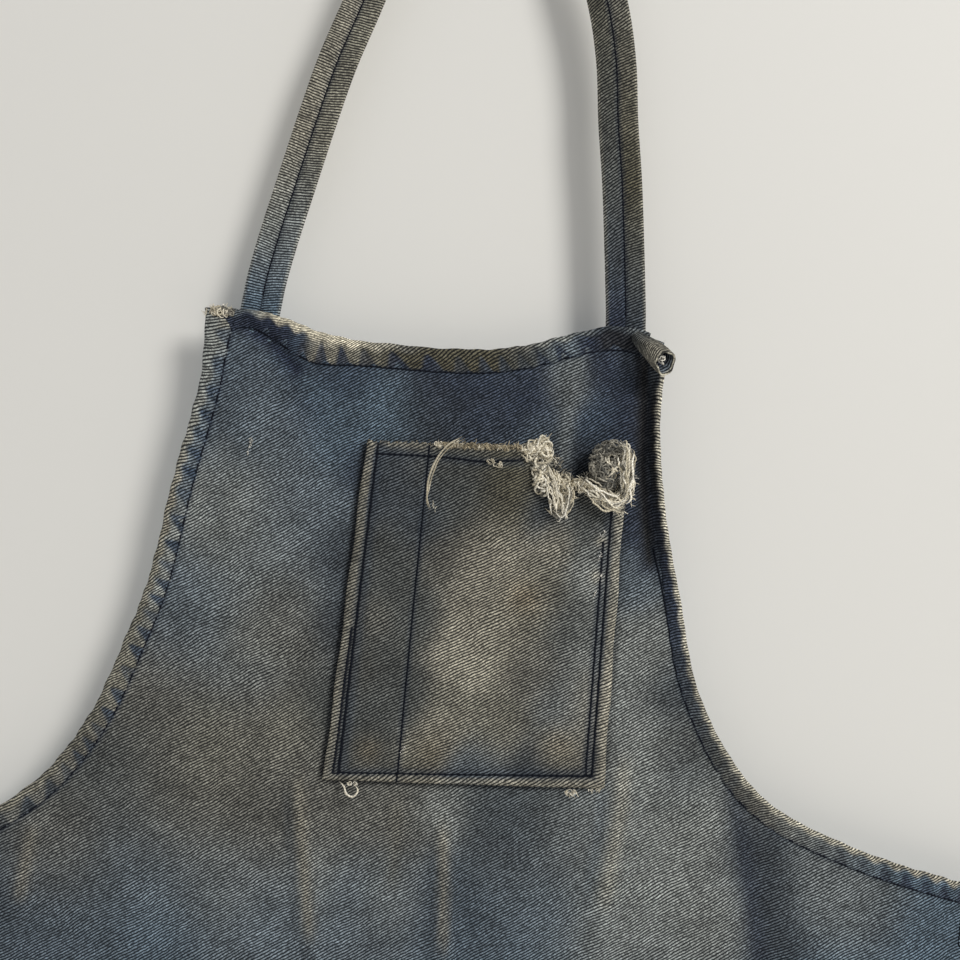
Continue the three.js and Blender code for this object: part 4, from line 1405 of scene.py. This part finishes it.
class Tangle:
    """Collects seeded strands and turns them into one piece. Places count from its origin."""

    def __init__(self, seed, origin=(0.0, 0.0, 0.0)):
        self.random = np.random.default_rng(seed)
        self.origin = np.array(origin, float)
        self.parts = []
        self.weave = []
        self.tint = []

    def vary(self, low, high, size=None):
        return self.random.uniform(low, high, size)

    def strand(self, points, radius, family, sides=5):
        tints = YARN_TINTS[family]
        tint = tints[self.random.integers(len(tints))] * self.vary(0.8, 1.15)
        aside = np.array([0.31, -0.83, 0.47])
        angle, circle = ring_around(unit(np.gradient(points, axis=0)), aside, sides)
        t = np.linspace(0, 1, len(points))
        girth = radius * np.clip(np.minimum(t, 1 - t) * 9, 0.25, 1)
        self.parts.append(tube(points[:, None] + circle * girth[:, None, None]))
        weave = yarn_weave(travelled(points), angle, self.vary(0, 50), self.vary(0, 9))
        self.weave.append(weave)
        self.tint.append(np.tile(tint, (len(weave), 1)))

    def waver(self, count, size):
        """A smooth random walk about zero."""
        t = np.linspace(0, 1, count)[:, None]
        out = np.zeros((count, 3))
        for turns in (1.0, 2.2, 4.1):
            out += self.vary(-1, 1, 3) / turns * np.sin(2 * np.pi * (turns * t + self.vary(0, 1, 3)))
        return out * size

    def bundle(self, route, count, spread, radius, family, loose=1.0, points=26):
        """Strands that run together along a route, each `loose` by so much of a walk about it."""
        spine = Path(self.origin + route, even=False)
        for _ in range(count):
            start = self.vary(0, 0.16) * spine.length
            end = self.vary(0.8, 1.0) * spine.length
            line = spine.at(np.linspace(start, end, points))
            offset = self.random.normal(0, 0.5, 3) * spread
            self.strand(line + offset + self.waver(points, loose), radius * self.vary(0.75, 1.2), family)

    def ball(self, centre, size, count, curl, radius, family, points=18):
        for _ in range(count):
            away = unit(self.random.normal(0, 1, 3))
            away[1] = -abs(away[1])
            middle = centre + away * np.array(size) * self.vary(0.55, 1.0)
            first = unit(np.cross(away, self.random.normal(0, 1, 3)))
            second = unit(np.cross(away, first) + 0.5 * away)
            sweep = np.linspace(0, self.vary(3.2, 5.8), points)[:, None]
            r = curl * self.vary(0.6, 1.3)
            line = middle + r * (np.cos(sweep) * first + np.sin(sweep) * second)
            self.strand(line + self.waver(points, 0.25 * curl), radius * self.vary(0.7, 1.2), family)

    def curls(self, centre, size, count, curl, radius, family):
        """Small loops over a rounded lump: `size` is its half size, `curl` the radius of a loop."""
        self.ball(self.origin + centre, size, count, curl, radius, family)

    def fluff(self, route, places, each, size, curl, radius, family):
        """Curls all along a route, like the wool of a frayed cord: `each` of them at each place."""
        spine = Path(self.origin + route, even=False)
        for centre in spine.at(np.linspace(0, spine.length, places)):
            self.ball(centre, (size, size * 0.7, size), each, curl, radius, family)

    def whiskers(self, start, end, count, lean, length, radius, family, points=9):
        """Short bent fibres along a line, which lean one way."""
        for _ in range(count):
            root = mix(self.origin + start, self.origin + end, self.random.uniform())
            aim = np.array(lean, float) + self.random.normal(0, 0.55, 3)
            size = length * self.vary(0.4, 1.25)
            t = np.linspace(0, 1, points)[:, None]
            bend = unit(self.random.normal(0, 1, 3)) * size * 0.45
            line = root + unit(aim) * size * t + bend * t * t
            self.strand(line, radius * self.vary(0.6, 1.2), family, 4)

    def piece(self, name):
        points, faces = join(self.parts)
        weave, tint = np.vstack(self.weave), np.vstack(self.tint)
        return make_piece(name, points, faces, fray_material, weave=weave, tint=tint)


mouth_y = pocket_y - 3.0     # front of the torn mouth


def make_left_knot():
    """A curled tuft above, two pale loops, and a thick tail that hangs over the pocket's front."""
    k = Tangle(31, at_bib(0, mouth_y - 3.0, 0))
    tuft = [(52.5, 0.5, -62), (56, 0, -59), (60, 0, -57.5), (61, 0, -62)]
    tail = [(63, -1, -70), (66.5, -1.5, -77), (69, -1.5, -84), (71, -1, -91)]
    end = [(72, 0, -74), (74, -1, -80), (74, -1.5, -86), (71, -1, -91), (67, 0, -89)]
    k.fluff(tuft, 8, 13, 2.9, 2.3, 0.48, "tan")
    k.fluff(tuft, 5, 6, 3.2, 2.9, 0.52, "cream")
    k.fluff([(59.5, -1, -67), (60, -1, -74), (62, -1, -79)], 5, 8, 2.6, 3.0, 0.62, "cream")
    k.fluff([(59, 0, -66), (61, 0, -80)], 6, 10, 3.2, 2.2, 0.44, "grey")
    k.bundle(tail, 46, 4.0, 0.44, "cream", 1.5)
    k.fluff(tail, 5, 3, 2.8, 3.0, 0.42, "grey")
    k.bundle(end, 30, 3.0, 0.46, "cream", 1.4)
    k.bundle(end, 16, 2.6, 0.44, "grey", 1.2)
    k.fluff([(67, 0, -74), (73, 0, -76), (74, 0, -82)], 6, 10, 3.0, 2.4, 0.42, "tan")
    k.whiskers((56, 0, -56), (61, 0, -55.5), 10, (0.1, -0.2, 1), 4, 0.26, "tan")
    k.whiskers((75, 0, -74), (77, 0, -84), 14, (0.8, -0.3, 0.1), 3, 0.2, "tan")
    k.whiskers((68, -1, -90), (73, -1, -92), 12, (0.2, -0.3, -1), 3, 0.2, "white")
    k.whiskers((65, 0, -63), (68, 0, -72), 6, (0.8, -0.3, 0.5), 6, 0.28, "navy")
    return k.piece("frayed_knot_left")


def make_right_knot():
    """A round mass of loops, cradled by a thick cream bundle down its right and along its foot."""
    k = Tangle(47, at_bib(0, mouth_y - 2.5, 0))
    crown = [(88, 0, -68), (89, 0, -60), (95, 0, -55.5), (101, 0, -57)]
    right = [(98, -2, -57), (101.5, -3, -56.5), (103.5, -3, -63), (104, -3, -72), (103.5, -2.5, -79),
             (101, -2, -83)]
    foot = [(83, -1, -76), (88, -3, -78.5), (94, -3.5, -82), (99, -3, -83.5), (103.5, -2, -80)]
    k.curls((95, 1, -68), (8.0, 3.0, 10.0), 110, 3.0, 0.5, "grey")
    k.curls((95.5, -0.5, -69), (5.5, 1.6, 8.0), 60, 2.8, 0.48, "grey")
    k.curls((96, -1.5, -66), (4.5, 1.0, 7.0), 14, 3.0, 0.46, "tan")
    k.fluff(crown, 10, 12, 3.2, 2.5, 0.46, "grey")
    k.fluff([(92, -1, -66), (93, -1, -76)], 5, 8, 3.4, 3.2, 0.46, "grey")
    k.curls((94.5, -2, -70), (3.0, 1.0, 5.0), 12, 1.6, 0.3, "navy")
    k.bundle(right, 44, 3.8, 0.46, "cream", 1.5)
    k.fluff(right, 6, 3, 2.8, 3.0, 0.4, "grey")
    k.bundle(foot, 48, 3.8, 0.46, "cream", 1.5)
    k.fluff(foot, 6, 3, 2.6, 3.0, 0.4, "grey")
    k.bundle([(98, -4, -60), (100.5, -4.5, -67), (101.5, -4.5, -76)], 9, 2.2, 0.48, "cream")
    k.fluff([(79, 0, -76), (86, 0, -77)], 5, 16, 2.8, 1.6, 0.4, "tan")
    k.whiskers((106, -2, -70), (107, -2, -84), 20, (0.8, -0.3, -0.4), 3, 0.2, "cream")
    k.whiskers((94, -2, -86), (104, -2, -87), 16, (0.2, -0.2, -1), 3.0, 0.2, "cream")
    k.whiskers((77, 0, -76), (84, 0, -76), 20, (-0.4, -0.3, 0.5), 3.0, 0.2, "tan")
    k.whiskers((88, 0, -55), (101, 0, -53), 20, (-0.1, -0.2, 1), 2.4, 0.2, "grey")
    k.whiskers((99, -5, -66), (102, -5, -70), 4, (-0.5, -0.4, -0.7), 4, 0.3, "navy")
    return k.piece("frayed_knot_right")


def pocket_lip(u):
    """A place on the front of the patch's top edge."""
    return pocket_grid(np.array([u]), np.array([0.004]))[0] + np.array([0.0, -0.4, 0.4])


def make_mouth_fray():
    """The torn edge of the mouth, from its whole part on the left to the two knots."""
    k = Tangle(53)
    for root in map(pocket_lip, np.linspace(0.27, 0.6, 30)):
        family = ("brown", "brown", "tan")[k.random.integers(3)]
        k.whiskers(root - [1.2, 0, 0.6], root + [1.2, 0, 0.4], 6, (0.5, -0.5, 0.4), 2.2, 0.24, family)
        k.curls(root + [0, 0.2, -0.4], (1.8, 0.7, 1.0), 6, 1.0, 0.3, family)
    for root in map(pocket_lip, np.linspace(0.02, 0.26, 12)):
        k.whiskers(root - [3, 0, 0.2], root + [3, 0, 0.2], 3, (0.6, -0.6, 0.2), 1.1, 0.16, "brown")
    for root in map(pocket_lip, np.linspace(0.66, 0.96, 44)):
        k.whiskers(root - [1.2, 0, 0.8], root + [1.2, 0, 0.4], 5, (0, -0.6, 0.6), 3.2, 0.22, "grey")
        k.whiskers(root - [1.2, 0, 0.8], root + [1.2, 0, 0.4], 3, (0.1, -0.6, 0.2), 3.4, 0.24, "cream")
    for x, z in ((33.5, -67.8), (38.2, -69.2)):
        k.curls(at_bib(x, mouth_y - 5.2, z), (2.6, 0.5, 0.6), 6, 1.1, 0.26, "tan")
    return k.piece("pocket_mouth_fray")


def make_loose_thread():
    """Two bundles of tan yarn, pulled up out of the mouth and hanging over the slot's seam."""
    k = Tangle(61, at_bib(0, mouth_y - 4, 0))
    for shift, tail in ((0.0, 0.0), (1.3, -1.5)):
        route = [
            (18.5 + 2 * shift, 0, -56.5), (12 + 1.6 * shift, -1.6, -61), (7 + shift, -1.8, -68),
            (4 + shift, -1, -76), (2.8 + shift * 0.6, 0, -84), (3.2, 0.4, -90 + tail),
            (5.4, 1.0, -95 + tail),
        ]
        k.bundle(route, 3, 0.2, 0.26, "tan", 0.25, 40)
    k.whiskers((6, 0, -90), (8, 0, -96), 8, (0.2, -0.2, -1), 2.4, 0.16, "cream")
    return k.piece("loose_thread")


def make_loose_ends():
    """The threads that have come loose at the bottom of the pocket, and its bare nicks."""
    k = Tangle(67, at_bib(0, pocket_y - 1.2, 0))
    loop = [(-30, 0, -239), (-27, -1, -241), (-25, -1.4, -245), (-21.5, -1.6, -246), (-19.5, -1.2, -243),
            (-21, -1.4, -240.5), (-24, -1.2, -240)]
    k.bundle(loop, 4, 0.3, 0.32, "cream", 0.3, 30)
    k.curls((-23, -0.6, -239.5), (3.2, 0.6, 0.8), 9, 0.9, 0.2, "cream")
    k.curls((90, -0.4, -234.2), (3.4, 0.6, 0.9), 10, 0.9, 0.2, "cream")
    k.whiskers((87, 0, -234), (93, 0, -234), 18, (0, -0.3, -1), 3, 0.2, "cream")
    k.whiskers((98, 0, -232), (106, 0, -231), 14, (0.3, -0.3, -1), 2.4, 0.18, "cream")
    for x, z in ((1.5, -220), (95, -100), (94, -112), (96, -121), (93.5, -131)):
        k.whiskers((x - 1, -0.5, z - 2), (x + 1, -0.5, z + 2), 9, (0.3, -1, 0.2), 1.6, 0.17, "white")
    return k.piece("pocket_loose_ends")


def make_corner_tuft():
    """Where the left corner has worn through to its weft, and a nick in the cloth below."""
    k = Tangle(71, at_bib(0, panel_y - 1.0, 0))
    k.curls((-113, 0, -2.5), (5.5, 1.8, 2.2), 70, 1.4, 0.3, "tan")
    k.curls((-110, 0, -2), (5.5, 1.8, 2.0), 46, 1.3, 0.28, "grey")
    k.whiskers((-118, 0, -1.5), (-106, 0, -0.5), 44, (-0.1, -0.4, 0.8), 2.4, 0.2, "cream")
    k.whiskers((-120, 0, -6), (-119, 0, -2), 16, (-0.8, -0.3, 0.3), 2, 0.18, "cream")
    k.whiskers((-92, -0.2, -75), (-90.6, -0.2, -66), 26, (0.1, -1, -0.5), 1.5, 0.16, "white")
    return k.piece("corner_fray")


# ---- The right corner has curled forward into a short open roll ----

ROLL_SIDES = 72
ROLL_WALL = 1.3
ROLL_MOUTH = 7.0             # radius of its open end


def make_corner_roll():
    start = np.array(at_bib(103.5, panel_y - 2.0, 3.5))
    end = np.array(at_bib(117.6, panel_y - 15.5, -10.5))
    axis = unit(end - start)
    mouth_faces = unit(np.array([0.75, -1.0, -0.1]))
    angle = np.linspace(0, 2 * np.pi, ROLL_SIDES, endpoint=False)
    length = np.linalg.norm(end - start)
    rings, weave, tint = [], [], []

    def ring(place, radius, colour):
        wobble = 1 + 0.07 * np.cos(3 * angle + 1) + 0.05 * np.cos(5 * angle + place / 4)
        r = radius * wobble
        facing = unit(mix(axis, mouth_faces, 0.85 * smooth(0.2, 1.0, place / length)))
        first = unit(np.cross(facing, [0.0, 0.0, 1.0]))
        second = np.cross(facing, first)
        across = (np.cos(angle) * r)[:, None] * first
        down = (np.sin(angle) * r * 0.9)[:, None] * second
        rings.append(start + axis * place + across + down)
        weave.append(ribs_at(angle * 5.5, place, 6.0))
        # painted shade: the side of the roll turned from the light is darker
        rise_and_fall = 0.5 + 0.5 * np.cos(angle - 0.6)[:, None]
        tint.append(mix(colour, colour * 0.55, 1 - rise_and_fall))

    # outside, round the rim, and back in, where painted shade darkens the inside further in
    for t in np.linspace(0, 1, 26):
        radius = mix(3.4, ROLL_MOUTH, math.sin(t * math.pi / 2))
        ring(t * length, radius, mix(DUSK, TAN, smooth(0.1, 0.8, t)))
    for turn in np.linspace(0.2, 1, 4):
        ring(length + 0.6 * math.sin(turn * math.pi), ROLL_MOUTH - ROLL_WALL * turn, CREAM)
    for t in np.linspace(0, 1, 12):
        ring(length - 1 - 9 * t, (ROLL_MOUTH - ROLL_WALL) * (1 - 0.3 * t), mix(SLATE, INK, min(t * 2, 1)))
    points, faces = tube(np.array(rings))
    roll = make_piece(
        "corner_roll", points, faces, hem_denim, weave=with_ends(np.array(weave)),
        tint=with_ends(np.array(tint)), seam=np.full(len(points), NO_SEAM), inner=np.zeros(len(points)),
    )
    k = Tangle(79)
    mouth = end - axis * 5.0
    k.curls(mouth, (2.0, 1.4, 2.2), 12, 1.3, 0.26, "grey")
    k.curls(mouth + axis * 2.5, (1.6, 1.0, 2.0), 7, 1.0, 0.26, "white")
    tip = at_bib(112, panel_y - 6, -1)
    k.whiskers(tip, np.add(tip, (2, 0, -0.5)), 3, (1, -0.2, 0.15), 9, 0.16, "white")
    return roll, k.piece("corner_roll_fray")


# ---- Stage, camera and light ----

def pale_material(name, colour, one_sided):
    """Plain paint; one-sided paint can't be seen from behind."""
    n = Nodes(name)
    n.surface({"Base Color": colour, "Roughness": 0.55, "Specular IOR Level": 0.25})
    if one_sided:
        choose = n.add("ShaderNodeMixShader")
        n.feed(choose.inputs[0], n.add("ShaderNodeNewGeometry").outputs["Backfacing"])
        n.feed(choose.inputs[1], n.shader.outputs[0])
        n.feed(choose.inputs[2], n.add("ShaderNodeBsdfTransparent").outputs[0])
        n.feed(n.tree.nodes["Material Output"].inputs[0], choose.outputs[0])
    return n.material


def make_plane(name, corners, material):
    mesh = bpy.data.meshes.new(name)
    mesh.from_pydata(corners, [], [(0, 1, 2, 3)])
    mesh.materials.append(material)
    plane = put(name, mesh)
    return plane


STAGE_REACH = 4.0            # metres each way
BOARD_Y = 0.022
BOARD_TOP = 1.5


def make_stage():
    """A pale floor, and a pale board behind the apron that can't be seen from behind."""
    low, reach = (bottom - 60) * MM, STAGE_REACH
    floor = [(-reach, -reach, low), (reach, -reach, low), (reach, reach, low), (-reach, reach, low)]
    make_plane("floor", floor, pale_material("floor_paint", (0.78, 0.765, 0.745), False))
    y, top = BOARD_Y, BOARD_TOP
    corners = [(-reach, y, low), (reach, y, low), (reach, y, top), (-reach, y, top)]
    board = make_plane("backdrop", corners, pale_material("board_paint", (0.80, 0.788, 0.748), True))
    board.visible_shadow = False
    board.visible_diffuse = False
    board.visible_glossy = False


VIEW_DISTANCE = 600.0
VIEW_WIDTH = 499.0           # of the apron's plane that the picture takes in
VIEW_MIDDLE = (29.3, -77.8)  # on the bib
VIEW_ROLL = math.radians(5)
SENSOR = 36.0


def make_camera():
    """Square on to the bib, and rolled a little, as the apron hangs askew in the picture."""
    data = bpy.data.cameras.new("camera")
    data.sensor_width = SENSOR
    data.lens = SENSOR * VIEW_DISTANCE / VIEW_WIDTH
    camera = put("camera", data)
    right = Vector((math.cos(VIEW_ROLL), 0, math.sin(VIEW_ROLL)))
    up = Vector((-math.sin(VIEW_ROLL), 0, math.cos(VIEW_ROLL)))
    back = right.cross(up)
    turn = Matrix((right, up, back)).transposed().to_4x4()
    centre = Vector(at_bib(VIEW_MIDDLE[0], panel_y - VIEW_DISTANCE, VIEW_MIDDLE[1])) * MM
    camera.matrix_world = Matrix.Translation(centre) @ turn
    bpy.context.scene.camera = camera


def area_light(name, place, target, size, power, colour):
    data = bpy.data.lights.new(name, "AREA")
    data.shape = "DISK"
    data.size = size
    data.energy = power
    data.color = colour
    light = put(name, data)
    light.location = place
    light.rotation_euler = (Vector(target) - Vector(place)).to_track_quat("-Z", "Y").to_euler()


def make_light():
    middle = Vector(at_bib(0, 0, -120)) * MM
    area_light("window", middle + Vector((2.2, -2.55, 1.9)), middle, 1.4, 88, (1.0, 0.985, 0.955))
    area_light("back_fill", middle + Vector((-0.8, 1.6, 0.5)), middle, 1.4, 34, (0.97, 0.98, 1.0))
    world = bpy.data.worlds.new("studio")
    bpy.context.scene.world = world
    world.use_nodes = True
    background = world.node_tree.nodes["Background"]
    background.inputs["Color"].default_value = (0.95, 0.96, 0.98, 1)
    background.inputs["Strength"].default_value = 0.4
    bpy.context.scene.view_settings.view_transform = "Standard"


# ---- Assembly: the body each piece rides on, and the CAD nodes it stands for, which are hidden ----
def bend_between(piece):
    """Bakes a piece's transform into its mesh."""
    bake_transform(piece)


def name_as(piece, slot, *nodes):
    if nodes:
        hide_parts(*nodes)


def sew(piece, body_name, slot, *nodes):
    """Rides a piece on a body, or bakes its transform where it hangs over the waist, and hides the CAD
    nodes it stands for; `slot` is not used.
    """
    if body_name == "waist":
        bend_between(piece)
    else:
        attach(piece, body_name)
    name_as(piece, slot, *nodes)
    return piece


make_camera()
body = make_body()
top_hem = make_top_hem()
hem_left = make_armhole_hem("armhole_hem_left_edge", armhole_left, -1, 5, left_look, ([0, 400], [1, 1]))
hem_right = make_armhole_hem("armhole_hem_right_edge", armhole_right, 1, 9, right_look,
                             ([0, 280, 340], [0.4, 0.45, 1]))
side_hem_left = make_side_hem("side_hem_left", side_left, -1, -310.5)
side_hem_right = make_side_hem("side_hem_right", side_right, 1, -269.5)
bottom_hem = make_bottom_hem()
sew(body, "waist", "body_denim", "bib_panel", "skirt_panel")
sewn_to_body = [
    sew(top_hem, "bib", "hem_denim", "bib_top_hem"),
    sew(hem_left, "bib", "hem_denim", "armhole_hem_left"),
    sew(hem_right, "bib", "hem_denim", "armhole_hem_right"),
    sew(side_hem_left, "waist", "hem_denim", "waist_side_hem_left", "skirt_side_hem_left"),
    sew(side_hem_right, "waist", "hem_denim", "waist_side_hem_right", "skirt_side_hem_right"),
    sew(bottom_hem, "skirt", "hem_denim", "skirt_bottom_hem"),
]


def sew_seam(name, flat, body_name, node):
    sewn_to_body.append(sew(level_run(name, [flat]), body_name, "thread", node))


low_z = bottom_z + bottom_hem_width - 2
sew_seam("top_stitches", top_seam, "bib", "bib_top_stitching")
sew_seam("armhole_stitches_left", left_seam, "bib", "armhole_stitching_left")
for part, start, end in RIGHT_RUNS:
    run = seam_line(armhole_right, 1, start, end)
    sew_seam("armhole_stitches_right_" + part, run, "bib", "armhole_stitching_right_" + part)
for which, edge, side, corner in (("left", side_left, -1, -322), ("right", side_right, 1, -281)):
    x = edge - side * stitch_inset
    run = straight(x, corner, x, low_z + 2)
    sew_seam("side_stitches_" + which, run, "waist", "skirt_side_stitching_" + which)
run = straight(side_left + stitch_inset, low_z, side_right - stitch_inset, low_z)
sew_seam("bottom_stitches", run, "skirt", "skirt_bottom_stitching")

roll, roll_fray = make_corner_roll()
sewn_to_body += [
    sew(roll, "bib", "hem_denim"),
    sew(roll_fray, "bib", "frayed_cotton"),
    sew(make_corner_tuft(), "bib", "frayed_cotton"),
]

pocket = make_pocket()
sew(pocket, "bib", "pocket_denim", "pocket_panel", "pocket_fold_left", "pocket_fold_right",
    "pocket_fold_bottom", "pocket_fold_top")
pocket_runs = make_pocket_stitches()
sewn_to_pocket = [
    sew(pocket_runs["outer"], "bib", "thread", "pocket_outer_stitching"),
    sew(pocket_runs["left"], "bib", "thread", "pocket_inner_stitching_left"),
    sew(pocket_runs["right"], "bib", "thread", "pocket_inner_stitching_right"),
    sew(pocket_runs["divider"], "bib", "thread", "pocket_divider_stitching"),
    sew(pocket_runs["top"], "bib", "thread", "pocket_top_stitching"),
    sew(make_left_knot(), "bib", "frayed_cotton", "pocket_frayed_knot_left"),
    sew(make_right_knot(), "bib", "frayed_cotton", "pocket_frayed_knot_right"),
    sew(make_loose_thread(), "bib", "frayed_cotton", "pocket_loose_thread"),
    sew(make_mouth_fray(), "bib", "frayed_cotton"),
    sew(make_loose_ends(), "bib", "frayed_cotton"),
]

strap, strap_stitches = make_neck_strap()
name_as(strap, "tape", "neck_strap", "neck_strap_end_left", "neck_strap_end_right")
name_as(strap_stitches, "thread", "neck_strap_stitching")
for piece in (strap, strap_stitches):
    bend_between(piece)

ties = []
for which, edge, side in (("left", side_left, -1), ("right", side_right, 1)):
    z_middle = joint_place[f"tie_{which}_swing"][2] - bib_top
    tape, stitches = make_tie("waist_tie_tape_" + which, edge, side, z_middle)
    name_as(tape, "tape", "waist_tie_" + which, "waist_tie_end_" + which)
    name_as(stitches, "thread", "waist_tie_stitching_" + which)
    for piece in (tape, stitches):
        bend_between(piece)
    tack = make_tie_tack("waist_tie_tack_stitches_" + which, edge, side, z_middle)
    sew(tack, "bib", "thread", "waist_tie_tack_" + which)
    ties.append((tape, [stitches, tack]))

# ---- The body's row ends, and each tie's pieces as a list; neither is used further ----
left_ends, right_ends = body_rows()
for tape, pieces in ties:
    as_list(pieces)

make_stage()
make_light()
